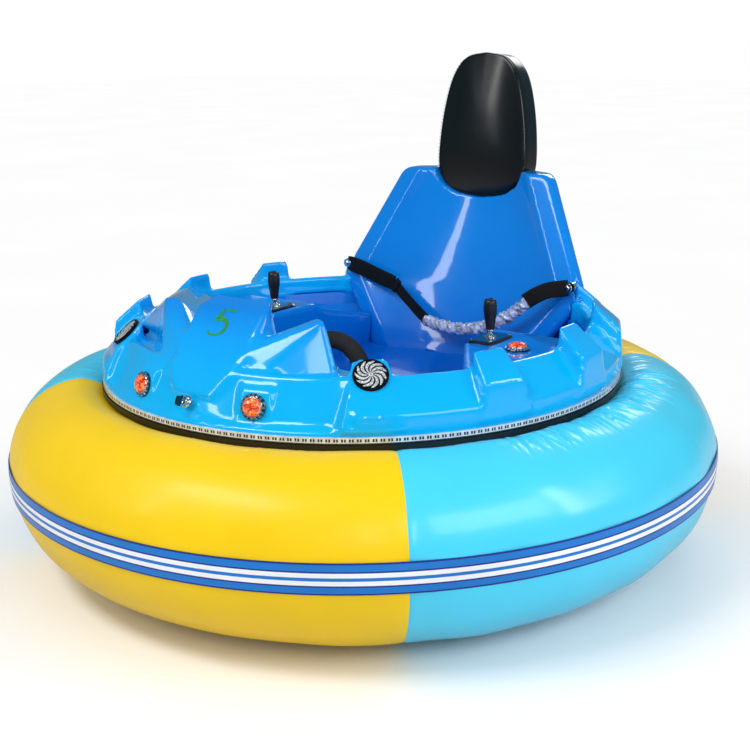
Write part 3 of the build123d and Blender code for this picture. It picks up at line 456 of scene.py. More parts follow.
def smooth_route(points, steps):
    """Even points along a smooth curve through some points, and the curve's directions."""
    pts = [Vector(p) for p in points]
    pts = [pts[0] * 2 - pts[1]] + pts + [pts[-1] * 2 - pts[-2]]
    dense = []
    for a, b, c, d in zip(pts, pts[1:], pts[2:], pts[3:]):
        for i in range(24):
            t = i / 24
            dense.append(0.5 * ((2 * b) + (c - a) * t + (2 * a - 5 * b + 4 * c - d) * t ** 2
                                + (3 * b - a - 3 * c + d) * t ** 3))
    dense.append(pts[-2])
    run = [0.0]
    for p, q in zip(dense, dense[1:]):
        run.append(run[-1] + (q - p).length)
    route, index = [], 0
    for i in range(steps + 1):
        goal = run[-1] * i / steps
        while index < len(run) - 2 and run[index + 1] < goal:
            index += 1
        share = (goal - run[index]) / max(run[index + 1] - run[index], 1e-9)
        route.append(dense[index].lerp(dense[index + 1], min(max(share, 0), 1)))
    ways = [(route[min(i + 1, steps)] - route[max(i - 1, 0)]).normalized() for i in range(steps + 1)]
    return route, ways, run[-1]


def swept(points, steps, outline, flat_to=(0, 1, 0)):
    """Sweeps an outline along a smooth route. outline(share, length) gives pairs: along the
    outward direction flat_to, and across it."""
    route, ways, length = smooth_route(points, steps)
    verts = []
    for i, (place, way) in enumerate(zip(route, ways)):
        out = Vector(flat_to)
        out = (out - way * out.dot(way)).normalized()
        across = way.cross(out)
        ring = [place + out * a + across * b for a, b in outline(i / steps, length)]
        verts += ring
    return verts, ring_faces(steps + 1, len(ring))


def rounded(thick, wide, count=20, power=4.0):
    """Points round a softened rectangle, thick by wide."""
    ring = []
    for turn in turns(count):
        c, s = math.cos(turn), math.sin(turn)
        ring.append((math.copysign(abs(c) ** (2 / power), c) * thick / 2,
                     math.copysign(abs(s) ** (2 / power), s) * wide / 2))
    return ring


# ---- the moulding: deck ring, ribs, lamp pads and hood
# Half sections of the deck beside the nose and elsewhere: radius and height
DECK_SIDE = ((0.637, 0.6), (0.637, 0.652), (0.655, 0.652), (0.68, 0.627), (0.705, 0.602), (0.73, 0.577),
             (0.73, 0.54), (0.73, 0.529), (0.724, 0.524), (0.724, 0.493), (0.666, 0.493), (0.666, 0.6))
DECK_NOSE = ((0.637, 0.6), (0.637, 0.652), (0.655, 0.652), (0.674, 0.611), (0.694, 0.57), (0.706, 0.545),
             (0.728, 0.535), (0.73, 0.529), (0.724, 0.524), (0.724, 0.493), (0.666, 0.493), (0.666, 0.6))
NOSE_HALF_ANGLE, NOSE_BLEND = 33.5, 3.0
DECK_STEPS = 480
# A rib's face, from its foot to its top: radius, height and half width
RIB_FACE = ((0.729, 0.628, 0.058), (0.65, 0.697, 0.043))
RIB_ROOT_Z, RIB_ROOT = 0.54, ((0.735, 0.077), (0.638, 0.058))
# Bearing, how much taller than standard, how much further in
RIBS = ((39.3, -0.007, 0.032), (65.5, 0.004, 0.0), (91.5, 0.014, 0.0),
        (117.0, 0.02, 0.0), (143.0, 0.02, 0.0))
LAMP_BEARING = 15.6
LAMP_PAD = ((0.7055, 0.548), (0.686, 0.616))
LAMP_PAD_HALF, LAMP_PAD_ROOT = 0.044, 0.65
# Spine: y, half width on top, top z, half width below
SPINE = ((-0.638, 0.046, 0.626, 0.11), (-0.613, 0.112, 0.685, 0.124), (-0.53, 0.116, 0.776, 0.13),
         (-0.486, 0.092, 0.796, 0.128))
WING = ((0.06, -0.6, 0.692), (0.115, -0.609, 0.693), (0.272, -0.5, 0.771), (0.238, -0.48, 0.771),
        (0.15, -0.638, 0.632), (0.322, -0.506, 0.62), (0.25, -0.43, 0.636), (0.06, -0.44, 0.636))
SHOULDER = ((0.1, -0.604, 0.69), (0.262, -0.498, 0.764), (0.44, -0.335, 0.718), (0.56, -0.174, 0.698),
            (0.61, -0.058, 0.69), (0.3, -0.3, 0.682), (0.43, -0.13, 0.658), (0.28, -0.48, 0.636),
            (0.52, -0.37, 0.636), (0.6, -0.21, 0.636), (0.39, -0.09, 0.636), (0.13, -0.43, 0.636))
HOOD_BASE_Z = 0.622
# The nose runs the spine's front down into the apron, over the key
NOSE = ((0.112, -0.613, 0.687), (0.104, -0.661, 0.641), (0.066, -0.69, 0.59), (0.12, -0.6, 0.595))


def rib_corners(bearing, rise, set_in):
    (outer, outer_half), (inner, inner_half) = RIB_ROOT
    corners = [polar(bearing, r, a, RIB_ROOT_Z)
               for r, h in ((outer, outer_half), (inner - set_in, inner_half)) for a in (-h, h)]
    for r, z, half in RIB_FACE:
        corners += [polar(bearing, r - set_in, a, z + rise) for a in (-half, half)]
    return corners


def pad_corners(bearing):
    (low_r, low_z), (high_r, high_z) = LAMP_PAD
    plan = ((low_r, 1.0, low_z), (high_r, 0.9, high_z), (LAMP_PAD_ROOT, 1.4, low_z),
            (LAMP_PAD_ROOT, 1.2, high_z + 0.026))
    return [polar(bearing, r, side * share * LAMP_PAD_HALF, z) for r, share, z in plan for side in (-1, 1)]


def deck_ring():
    verts = []
    for i in range(DECK_STEPS):
        bearing = 360.0 * i / DECK_STEPS - 180.0
        share = min(max((abs(bearing) - NOSE_HALF_ANGLE + NOSE_BLEND) / (2 * NOSE_BLEND), 0.0), 1.0)
        share = share * share * (3 - 2 * share)
        for (r0, z0), (r1, z1) in zip(DECK_NOSE, DECK_SIDE):
            verts.append(polar(bearing, r0 + (r1 - r0) * share, 0.0, z0 + (z1 - z0) * share))
    return verts, ring_faces(DECK_STEPS, len(DECK_SIDE), capped=False, closed=True)


def build_moulding():
    bodies = [deck_ring()]
    for side in (1, -1):
        bodies += [hull(rib_corners(side * b, rise, set_in)) for b, rise, set_in in RIBS]
        bodies.append(hull(pad_corners(side * LAMP_BEARING)))
        bodies.append(hull([Vector((side * x, y, z)) for x, y, z in WING]))
    bodies.append(hull([Vector((-x, y, z)) for x, y, z in SHOULDER]))
    spine = []
    for y, top, z, low in SPINE:
        spine += [Vector((s * h, y, v)) for h, v in ((top, z), (low, HOOD_BASE_Z)) for s in (-1, 1)]
    bodies.append(hull(spine))
    bodies.append(hull([Vector((side * x, y, z)) for x, y, z in NOSE for side in (1, -1)]))
    # the plate under the hood reaches the deck's inner wall
    rim = [polar(b, 0.64, 0.0, z) for b in range(-48, 49, 4) for z in (0.606, 0.636)]
    bodies.append(hull(rim))
    return moulded("moulding", mesh_of(*gathered(bodies)), "gel_blue", ("deck_shell", "hood"),
                   fine(0.0062), fine(13))


# ---- the pods beside the seat
POD_SIDE = ((-0.335, 0.557), (-0.046, 0.378), (0.01, 0.342), (0.452, 0.3))
POD_TOP = ((-0.335, 0.622), (0.19, 0.622), (0.235, 0.596), (0.452, 0.545))
POD_STATIONS = (-0.3, -0.24, -0.17, -0.1, -0.046, 0.01, 0.1, 0.19, 0.235, 0.3, 0.38, 0.452)
TUB_WALL = ((0.206, 0.486), (0.385, 0.528), (0.56, 0.631), (0.622, 0.636))
POD_FOOT_Z = 0.206


def stepped(table, x):
    """A value between the rows of a table of pairs."""
    for (x0, v0), (x1, v1) in zip(table, table[1:]):
        if x <= x1:
            return v0 + (v1 - v0) * max(x - x0, 0.0) / (x1 - x0)
    return table[-1][1]


def build_pod(word, side):
    def section(y):
        inner, top = stepped(POD_SIDE, y), stepped(POD_TOP, y)
        points = [(inner, POD_FOOT_Z), (inner, top)]
        for z in (POD_FOOT_Z, 0.385, 0.56, top):
            z = min(z, top)
            reach = stepped(TUB_WALL, z) ** 2 - y * y
            points.append((max(math.sqrt(max(reach, 0.0)), inner + 0.002), z))
        return [Vector((side * x, y, z)) for x, z in points]

    bodies = [hull(section(a) + section(b)) for a, b in zip(POD_STATIONS, POD_STATIONS[1:])]
    return moulded("pod_" + word, mesh_of(*gathered(bodies)), "gel_painted_shade", ("console_" + word,),
                   fine(0.007), fine(9))


SEAT_FOOT, SEAT_SINK = 0.03, 0.012
# How much wider and taller than the headrest its pocket is
POCKET_WIDER, POCKET_TALLER, POCKET_MID_Z, POCKET_Y = 1.012, 1.004, 1.15, (0.4, 0.8)


def build_seat_back():
    """The shell keeps the CAD's form, with its edges rolled and a pocket for the headrest."""
    outline = rest_outline()
    n = len(outline)
    verts = [(x * POCKET_WIDER, y, (z - POCKET_MID_Z) * POCKET_TALLER + POCKET_MID_Z)
             for y in POCKET_Y for x, z in outline]
    faces = [list(range(n)), [n + i for i in range(n)][::-1]]
    faces += [[i, n + i, n + (i + 1) % n, (i + 1) % n] for i in range(n)]
    cutter = placed("pocket", mesh_of(verts, faces))
    body = NODES["seat_back"].data.copy()
    foot = min(v.co.z for v in body.vertices)
    for v in body.vertices:                   # the foot sinks into the seat pan before its edges are rolled
        if v.co.z < foot + SEAT_FOOT:
            v.co.z -= SEAT_SINK
    moulded("seat_shell", body, "gel_painted_shade", ("seat_back",),
            fine(0.006), fine(14), cutter)
    bpy.data.objects.remove(cutter)


# ---- the inflated ring
RING_R, RING_MID_Z, RING_LOW, RING_CREST = 1.0, 0.29, (0.737, 0.03), (0.8, 0.515)
RING_SEAT, HOLE_TOP, HOLE_LOW = (0.73, 0.489), (0.541, 0.38), (0.541, 0.18)
HOLE_WALL = [(0.541, 0.33), (0.541, 0.28), (0.541, 0.23)]
SEAM_BEARING = 43.0
SEAM_PINCH, SEAM_WIDTH = 0.0035, 0.012
# The skin starts this far under the CAD's, and stays out of the hole
RING_INSET, RING_HOLE = 0.0015, 0.5412


def arc_through(a, b, c, count):
    """Even points on the arc from a by b to c, without c."""
    (ax, ay), (bx, by), (cx, cy) = a, b, c
    d = 2 * (ax * (by - cy) + bx * (cy - ay) + cx * (ay - by))
    aa, bb, cc = ax * ax + ay * ay, bx * bx + by * by, cx * cx + cy * cy
    ux = (aa * (by - cy) + bb * (cy - ay) + cc * (ay - by)) / d
    uy = (aa * (cx - bx) + bb * (ax - cx) + cc * (bx - ax)) / d
    radius = math.hypot(ax - ux, ay - uy)
    start, middle, end = (math.atan2(y - uy, x - ux) for x, y in (a, b, c))
    sweep = (end - start) % (2 * math.pi)
    if (middle - start) % (2 * math.pi) > sweep:
        sweep -= 2 * math.pi
    return [(ux + x, uy + y) for x, y in circle(radius, [start + sweep * i / count for i in range(count)])]


def ring_section():
    """The ring's outline in radius and height, from its foot up the outside and down the hole."""
    lean = math.sin(math.radians(45))

    def quarter(centre, end):
        return (centre + (RING_R - centre) * lean, RING_MID_Z + (end - RING_MID_Z) * lean)

    def bowed(a, b, out, up):
        return ((a[0] + b[0]) / 2 + out, (a[1] + b[1]) / 2 + up)

    equator = (RING_R, RING_MID_Z)
    return (arc_through(RING_LOW, quarter(*RING_LOW), equator, 30)
            + arc_through(equator, quarter(*RING_CREST), RING_CREST, 34)
            + arc_through(RING_CREST, bowed(RING_CREST, RING_SEAT, 0.001, 0.006), RING_SEAT, 14)
            + arc_through(RING_SEAT, bowed(RING_SEAT, HOLE_TOP, -0.0075, 0.0175), HOLE_TOP, 10)
            + [HOLE_TOP] + HOLE_WALL
            + arc_through(HOLE_LOW, bowed(HOLE_LOW, RING_LOW, -0.029, -0.029), RING_LOW, 10))


# Creases run in from the crest to the deck: first and last bearing, how many, depth, reach
CREASES = {
    "tube_front": ((-38, 34, 16, 0.001, 0.05), (4, 30, 7, 0.0016, 0.06)),
    "tube_left": ((62, 118, 38, 0.0095, 0.085), (46, 62, 5, 0.0014, 0.05), (118, 131, 5, 0.0018, 0.06)),
    "tube_rear": ((136, 220, 26, 0.0022, 0.06),),
    "tube_right": ((226, 310, 26, 0.0022, 0.06),),
}
CREASE_MID_RADIUS = 0.8


def ring_panel(name, first, finish):
    columns = fine(460)
    section = np.array(ring_section())
    ahead, behind = np.roll(section, -1, 0), np.roll(section, 1, 0)
    along = ahead - behind
    normal = np.stack([along[:, 1], -along[:, 0]], 1)
    normal /= np.linalg.norm(normal, axis=1)[:, None]
    if normal[20, 0] < 0:
        normal = -normal
    run = np.concatenate([[0], np.cumsum(np.linalg.norm(np.diff(section, axis=0), axis=1))])
    bearing = np.radians(first + 90.0 * np.arange(columns + 1) / columns)[:, None]
    radius, height = section[:, 0][None, :], section[:, 1][None, :]
    push = np.zeros((columns + 1, len(section)))
    rng = random.Random(len(name) * 31 + int(first))
    for _ in range(16):                       # soft, slow waves of the inflated sheet
        k, m, phase = rng.uniform(6, 26), rng.uniform(2, 9), rng.uniform(0, 6.28)
        push += 0.00028 * np.sin(bearing * k + run[None, :] * m + phase)
    for low, high, count, depth, size in CREASES[name]:
        for i in range(count):
            b = math.radians(low + (high - low) * (i + rng.uniform(0.1, 0.9)) / count)
            middle = CREASE_MID_RADIUS + rng.uniform(-0.028, 0.022)
            bend, lean = rng.uniform(-2.2, 2.2), rng.uniform(-0.35, 0.35)
            wide, long = rng.uniform(0.0045, 0.0085), size * rng.uniform(0.35, 0.65)
            off = radius - middle
            side = (bearing - b) * radius - lean * off - bend * off * off
            window = np.exp(-(off / long) ** 2) * (height > 0.4)
            push += depth * rng.uniform(0.4, 1.0) * window * (
                np.exp(-((side - wide) / wide) ** 2) * 0.6 - np.exp(-(side / wide) ** 2))
    far = np.minimum(bearing - math.radians(first), math.radians(first + 90.0) - bearing) * radius
    calm = 1 - np.exp(-(far / 0.03) ** 2)
    push = push * calm - SEAM_PINCH * np.exp(-np.abs(far) / SEAM_WIDTH)
    push = push - RING_INSET
    r, z = radius + push * normal[:, 0][None, :], height + push * normal[:, 1][None, :]
    r = np.maximum(r, RING_HOLE)
    places = np.stack([r * np.sin(bearing), -r * np.cos(bearing), z], 2).reshape(-1, 3)
    n = len(section)
    faces = [face[:1] + face[:0:-1] for face in ring_faces(columns + 1, n, capped=False)]
    faces += [list(range(n)), [columns * n + j for j in range(n)][::-1]]
    return piece(name.replace("tube", "bumper"), places.tolist(), faces, finish, name, crease=50)


def build_ring():
    for index, (name, finish) in enumerate((("tube_front", "ring_yellow"), ("tube_left", "ring_blue"),
                                            ("tube_rear", "ring_yellow"), ("tube_right", "ring_blue"))):
        ring_panel(name, SEAM_BEARING - 90.0 + 90.0 * index, finish)


# ---- lamps, fans and key
def lamp_frame(radius_height_low, radius_height_high, bearing):
    """A face that leans back between two points at a bearing: its middle and its directions."""
    low, high = [polar(bearing, r, 0.0, z) for r, z in (radius_height_low, radius_height_high)]
    across = polar(bearing, 0.0, 1.0, 0.0)
    up = (high - low).normalized()
    return (low + high) / 2, across, up, across.cross(up)


def on_face(frame_of, x, y, z):
    middle, across, up, out = frame_of
    return middle + across * x + up * y + out * z


def block_on(frame_of, corners, low, high):
    """An upright block over a plan drawn on a face."""
    n = len(corners)
    verts = [on_face(frame_of, x, y, z) for z in (low, high) for x, y in corners]
    faces = [list(range(n))[::-1], list(range(n, 2 * n))]
    faces += [[i, (i + 1) % n, n + (i + 1) % n, n + i] for i in range(n)]
    return verts, faces


LAMP_RADIUS, LAMP_LENS = 0.0325, 0.025
LAMP_PETALS = 16
POD_LAMP, POD_Z = (0.508, 0.014), 0.622


def lamp_parts(frame_of):
    middle, *axes = frame_of
    base = lathe(((0, 0), (LAMP_RADIUS, 0), (LAMP_RADIUS, 0.004), (LAMP_RADIUS - 0.001, 0.0055), (0, 0.0055)),
                 48, middle, axes)
    petals = []
    for turn in turns(LAMP_PETALS):
        half = math.pi / LAMP_PETALS * 0.62
        side = ((LAMP_LENS, 0.8), (LAMP_RADIUS - 0.003, 1.0), (LAMP_RADIUS, 0.55))
        plan = [circle(r, [turn - half * share])[0] for r, share in side]
        plan += [circle(r, [turn + half * share])[0] for r, share in side[::-1]]
        petals.append(block_on(frame_of, plan, 0.005, 0.009))
    petals.append(lathe(((LAMP_LENS - 0.0015, 0.004), (LAMP_LENS - 0.0015, 0.0105),
                         (LAMP_LENS + 0.001, 0.0105), (LAMP_LENS + 0.0015, 0.009),
                         (LAMP_LENS + 0.0015, 0.004)), 48, middle, axes))
    lens = faceted_dome(frame_of, LAMP_LENS - 0.0012, 0.0095, 0.0215)
    return base, gathered(petals), lens


def faceted_dome(frame_of, radius, low, high):
    """A dome of diamond facets, each row turned by half a facet."""
    count, rows = 18, 5
    verts, faces = [], []
    for row in range(rows):
        share = row / rows
        r = radius * math.cos(share * math.pi / 2) ** 0.8
        z = low + (high - low) * math.sin(share * math.pi / 2)
        for i in range(count):
            turn = 2 * math.pi * (i + 0.5 * row) / count
            wobble = 1.0 + (0.035 if (i + row) % 2 else -0.02)
            verts.append(on_face(frame_of, r * wobble * math.cos(turn), r * wobble * math.sin(turn), z))
    top = len(verts)
    verts.append(on_face(frame_of, 0, 0, high))
    for row in range(rows - 1):
        for i in range(count):
            a, b = row * count + i, row * count + (i + 1) % count
            c, d = (row + 1) * count + i, (row + 1) * count + (i + 1) % count
            faces += [(a, b, c), (b, d, c)]
    last = (rows - 1) * count
    faces += [(last + i, last + (i + 1) % count, top) for i in range(count)]
    faces.append(tuple(range(count))[::-1])
    return verts, faces


def build_lamps():
    frames = [lamp_frame(LAMP_PAD[0], LAMP_PAD[1], side * LAMP_BEARING) for side in (1, -1)]
    frames += [(Vector((side * POD_LAMP[0], POD_LAMP[1], POD_Z)),) + LEVEL for side in (1, -1)]
    bases, petals, lenses = zip(*(lamp_parts(f) for f in frames))
    piece("lamp_bases", *gathered(bases), "plastic_black", "lamp_bezels")
    piece("lamp_petals", *gathered(petals), "chrome", crease=20)
    piece("lamp_domes", *gathered(lenses), "lens", "lamp_lenses", crease=1)


FAN_RADIUS, FAN_BLADES = 0.0435, 11


def fan_frame(side):
    bearing, rise, set_in = RIBS[0]
    low, high = [(r - set_in, z + rise) for r, z, half in RIB_FACE]
    return lamp_frame(low, high, side * bearing)


def build_fan(word, side):
    f = fan_frame(side)
    middle, *axes = f
    profile = ((0, 0), (FAN_RADIUS, 0), (FAN_RADIUS, 0.0065), (FAN_RADIUS - 0.001, 0.0085),
               (FAN_RADIUS - 0.0022, 0.009), (FAN_RADIUS - 0.0035, 0.0075), (0, 0.0075))
    piece("fan_disc_" + word, *lathe(profile, 72, middle, axes), "matt_black", "fan_light_" + word)
    blades = []
    steps = 9
    for turn in turns(FAN_BLADES):
        edge_a, edge_b = [], []
        for s in range(steps + 1):
            share = s / steps
            r = 0.005 + (FAN_RADIUS - 0.0105) * share
            centre = turn - 0.95 * share ** 1.1 + 0.15 * math.sin(share * 3.1)
            half = math.pi / FAN_BLADES * (0.5 + 0.24 * share) * min(1.0, (1.03 - share) / 0.22) ** 0.6
            edge_a += circle(r, [centre - half])
            edge_b += circle(r, [centre + half])
        for s in range(steps):
            blades.append(block_on(f, [edge_a[s], edge_a[s + 1], edge_b[s + 1], edge_b[s]], 0.0074, 0.0082))
    hub = lathe(((0, 0.0074), (0.0052, 0.0074), (0.0052, 0.0086), (0.003, 0.0092), (0, 0.0094)),
                24, middle, axes)
    piece("fan_blades_" + word, *gathered(blades), "glitter", crease=20)
    piece("fan_hub_" + word, *hub, "glitter")


KEY_PLACE = (0.0, -0.695, 0.569)
KEY_OUT = (0.0, -0.9015, 0.4327)


def build_key():
    out = Vector(KEY_OUT)
    across = LEVEL[0]
    up = out.cross(across)
    axes = (across, up, out)
    f = (Vector(KEY_PLACE), *axes)
    barrel = lathe(((0, 0), (0.0085, 0), (0.0085, 0.012), (0.015, 0.012), (0.015, 0.015), (0.012, 0.0175),
                    (0.01, 0.018), (0.01, 0.0245), (0.0092, 0.026), (0.0062, 0.026), (0.0058, 0.0235),
                    (0, 0.0235)), 40, f[0], axes)
    nut = block_on(f, circle(0.0125, [math.pi / 3 * i for i in range(6)]), 0.014, 0.0185)
    stem = block_on(f, [(-0.004, -0.0011), (0.004, -0.0011), (0.004, 0.0011), (-0.004, 0.0011)],
                    0.0225, 0.034)
    piece("key_barrel", *gathered([barrel, nut, stem]), "chrome", "key_switch", crease=25)
    head = [(x + 0.004 * (y < -0.01), y - 0.004) for x, y in rounded(0.02, 0.03, 28, 3.2)]
    verts, faces = block_on(f, head, -0.0025, 0.0025)
    # the head stands out from the stem, with its flat sides to the left and right
    turned = []
    for v in verts:
        local = v - f[0]
        x, y, z = local.dot(across), local.dot(up), local.dot(out)
        turned.append(on_face(f, z * 1.1, x * 1.25 - 0.004, 0.04 + (y + 0.004) * 0.66))
    piece("key_head", turned, faces, "plastic_black", "ignition_key", crease=30)


# ---- joysticks and the grab hoop
STICK_X, STICK_Y = 0.388, 0.07
PLATE_HALF, PLATE_SCREW = (0.039, 0.061), (0.029, 0.051)


def build_joystick(word, side):
    x, y, z = side * STICK_X, STICK_Y, POD_Z
    place = (x, y, z)
    half_x, half_y = PLATE_HALF
    levels = ((0.0, 1.0), (0.0035, 1.0), (0.0075, 0.9), (0.008, 0.885))
    verts, count = [], 40
    for height, share in levels:
        for a, b in rounded(2 * half_x, 2 * half_y, count, 9.0):
            inset = half_x * (1 - share)
            verts.append(Vector((x + math.copysign(max(abs(a) - inset, 0), a),
                                 y + math.copysign(max(abs(b) - inset, 0), b), z + height)))
    piece("stick_plate_" + word, verts, ring_faces(len(levels), count), "plastic_black",
          "joystick_plate_" + word, crease=25)
    boot = ((0, 0.0075), (0.0175, 0.0075), (0.0175, 0.0105), (0.016, 0.012), (0.0105, 0.013),
            (0.0075, 0.0165), (0.006, 0.0175), (0.006, 0.0235), (0.0095, 0.0235), (0.01, 0.0245),
            (0.01, 0.0285), (0.0095, 0.0295), (0, 0.0295))
    screws = [lathe(((0, 0.0078), (0.0042, 0.0078), (0.0042, 0.0088), (0.003, 0.01), (0, 0.0106)), 14,
                    (x + sx * PLATE_SCREW[0], y + sy * PLATE_SCREW[1], z))
              for sx in (-1, 1) for sy in (-1, 1)]
    STICK_METAL.extend([lathe(boot, 32, place)] + screws)
    grip = ((0, 0.03), (0.0112, 0.03), (0.012, 0.0312), (0.0128, 0.04), (0.0142, 0.05),
            (0.016, 0.062), (0.0176, 0.072), (0.0184, 0.08), (0.0185, 0.085), (0.0183, 0.093),
            (0.0179, 0.0985), (0.0172, 0.099), (0.0172, 0.0999), (0.0178, 0.1004), (0.0173, 0.106),
            (0.0158, 0.1105), (0.013, 0.1132), (0.0095, 0.114), (0.0085, 0.1134), (0, 0.1134))
    piece("stick_grip_" + word, *lathe(grip, 40, place), "grip", "joystick_grip_" + word, crease=38)


STICK_METAL = []
HOOP_RADIUS, HOOP_Y, HOOP_SPRING_Z = 0.097, -0.12, 0.513
FOAM_RADIUS = 0.0248


def hoop_points(start, end, count):
    turns = [math.radians(start + (end - start) * i / count) for i in range(count + 1)]
    return [(x, HOOP_Y, HOOP_SPRING_Z + z) for x, z in circle(HOOP_RADIUS, turns)]


def build_hoop_foam():
    def outline(share, length):
        # the foam is drawn in a little at its ends
        swell = 1.0 - 0.16 * math.exp(-min(share, 1 - share) * length / 0.006)
        swell += 0.012 * math.sin(share * 61) * math.sin(share * 17)
        return circle(FOAM_RADIUS * swell, turns(32))

    verts, faces = swept(hoop_points(0, 180, 24), 72, outline)
    piece("hoop_foam", verts, faces, "foam", "grab_bar_foam", crease=50)


# ---- belts
ANCHOR = (0.41, 0.47, 0.7)
PAD_END = (-0.205, 0.444, 0.656)
PAD_RIGHT = ((-0.41, 0.47, 0.7), (-0.345, 0.459, 0.69), (-0.272, 0.45, 0.672), PAD_END)
WEB_RIGHT = (PAD_END, (-0.16, 0.434, 0.624), (-0.11, 0.424, 0.59), (-0.06, 0.4155, 0.556))
PAD_LEFT = ((0.296, 0.416, 0.655), (0.326, 0.424, 0.676), (0.362, 0.44, 0.693), ANCHOR)
SLIDE = (-0.196, 0.4415, 0.65)
# The wrap's mean and greatest radius, and how flat it lies
FILM_RADIUS, FILM_MOST, FILM_THICK, FILM_WIDE = 0.0172, 0.0215, 0.8, 1.04
WRAP = ((-0.064, 0.416, 0.557), (-0.005, 0.408, 0.55), (0.06, 0.402, 0.548), (0.14, 0.404, 0.559),
        (0.21, 0.409, 0.588), (0.262, 0.414, 0.622), (0.302, 0.416, 0.656))


def build_belts():
    def pad(share, length):
        tip = 1 - 0.55 * math.exp(-share * length / 0.012) - 0.25 * math.exp(-(1 - share) * length / 0.02)
        return rounded(0.01 * (0.55 + 0.45 * tip), 0.05 * (0.78 + 0.22 * tip), 28, 6.5)

    def web(share, length):
        fold = 1.0 - 0.1 * math.sin(share * 3.1)
        return rounded(0.003, 0.038 * fold, 20, 8.0)

    right = [swept(PAD_RIGHT, 44, pad), swept(WEB_RIGHT, 30, web)]
    # the adjuster's slide where the webbing leaves the pad
    middle, way = Vector(SLIDE), (Vector(WEB_RIGHT[1]) - Vector(PAD_END)).normalized()
    right.append(swept((middle - way * 0.009, middle, middle + way * 0.009), 6,
                       lambda share, length: rounded(0.009, 0.046, 20, 7.0)))
    piece("belt_right", *gathered(right), "webbing", "belt_strap_right", crease=55)
    left = [swept(PAD_LEFT, 40, lambda share, length: rounded(0.0105, 0.048, 28, 5.5))]
    piece("belt_left", *gathered(left), "webbing", "belt_strap_left", crease=55)

    rng = random.Random(11)
    folds = [(rng.uniform(15, 210), rng.choice((-4, -3, -2, 2, 3, 4, 5)), rng.uniform(0, 6.28),
              rng.uniform(0.0002, 0.0007)) for _ in range(30)]

    def crumpled(share, length):
        ring = []
        for turn in turns(48):
            r = FILM_RADIUS + sum(a * math.sin(k * share + m * turn + p) for k, m, p, a in folds)
            r = min(r, FILM_MOST)
            ring.append((r * FILM_THICK * math.cos(turn), r * FILM_WIDE * math.sin(turn)))
        return ring

    piece("belt_film", *swept(WRAP, 220, crumpled), "wrap", "belt_wrap", crease=24)
    axes = (Vector((1, 0, 0)), Vector((0, 0, -1)), Vector((0, 1, 0)))
    bolt = ((0, -0.0125), (0.0045, -0.0125), (0.0075, -0.0105), (0.008, -0.0085), (0.013, -0.0085),
            (0.014, -0.007), (0.014, -0.005), (0, -0.005))
    bolts = [lathe(bolt, 32, (side * ANCHOR[0], *ANCHOR[1:]), axes) for side in (-1, 1)]
    piece("belt_bolts", *gathered(bolts), "chrome")


# ---- the painted number on the hood
# A brush stroke in units of the figure's height: the flag, then down and round the bowl
FIVE_FLAG = ((0.44, 0.95), (0.2, 0.97), (-0.06, 0.93))
FIVE_BOWL = ((-0.04, 0.95), (-0.1, 0.72), (-0.16, 0.54), (0.02, 0.6), (0.22, 0.54), (0.32, 0.36),
             (0.26, 0.16), (0.06, 0.03), (-0.18, 0.04), (-0.28, 0.12))
FIVE_HEIGHT = 0.084
FIVE_MIDDLE = (-0.016, -0.575, 0.76)
FIVE_STEPS, FIVE_HALF = 40, 0.006


def build_five(skin):
    """The figure lies on the spine's sloping front, pressed on to the moulding."""
    (low_y, _, low_z, _), (high_y, _, high_z, _) = SPINE[1:3]
    slope = Vector((0, high_y - low_y, high_z - low_z)).normalized()
    across = LEVEL[0]
    out = across.cross(slope)
    verts, faces = [], []
    for stroke in (FIVE_FLAG, FIVE_BOWL):
        points = [(a * FIVE_HEIGHT, (b - 0.5) * FIVE_HEIGHT, 0) for a, b in stroke]
        route, ways = smooth_route(points, FIVE_STEPS)[:2]
        start = len(verts)
        for i, (p, way) in enumerate(zip(route, ways)):
            share = i / FIVE_STEPS
            half = FIVE_HALF * (0.45 + 0.55 * math.sin(math.pi * min(share * 1.15 + 0.12, 1.0)) ** 0.5)
            side = Vector((-way.y, way.x, 0)) * half
            for q in (p - side, p, p + side):
                verts.append(Vector(FIVE_MIDDLE) + across * q.x + slope * q.y + out * 0.03)
        corners = [start + i * 3 + side for i in range(FIVE_STEPS) for side in (0, 1)]
        faces += [(a, a + 1, a + 4, a + 3) for a in corners]
    made = piece("hood_number", verts, faces, "green_paint", crease=0)
    press = made.modifiers.new("press", "SHRINKWRAP")
    press.target = skin
    press.wrap_method = "NEAREST_SURFACEPOINT"
    press.offset = 0.0006


# ---- headrest
REST_FRONT_Y, REST_LOW_Z, REST_HIGH_Z = 0.618, 0.928, 1.373
REST_THICK, REST_LEAN = 0.088, 5.0
# Half width of the pad by height, from its foot to its crown
REST_SHAPE = ((0.928, 0.0), (0.932, 0.052), (0.946, 0.102), (0.972, 0.138), (1.008, 0.156), (1.06, 0.16),
              (1.15, 0.153), (1.23, 0.139), (1.296, 0.119), (1.34, 0.092), (1.364, 0.058), (1.373, 0.0))


def rest_outline():
    """The pad's outline seen from the front, as x and z, from its foot round."""
    route = smooth_route([(half, z, 0) for z, half in REST_SHAPE], 56)[0]
    side = [(max(p.x, 0.0), p.y) for p in route]
    return side + [(-x, z) for x, z in side[-2:0:-1]]


STITCH_FACES = [[0, 3, 2, 1], [4, 5, 6, 7], [0, 1, 5, 4], [1, 2, 6, 5], [2, 3, 7, 6], [3, 0, 4, 7]]
STITCH_PITCH, STITCH_AT = 0.007, 0.972


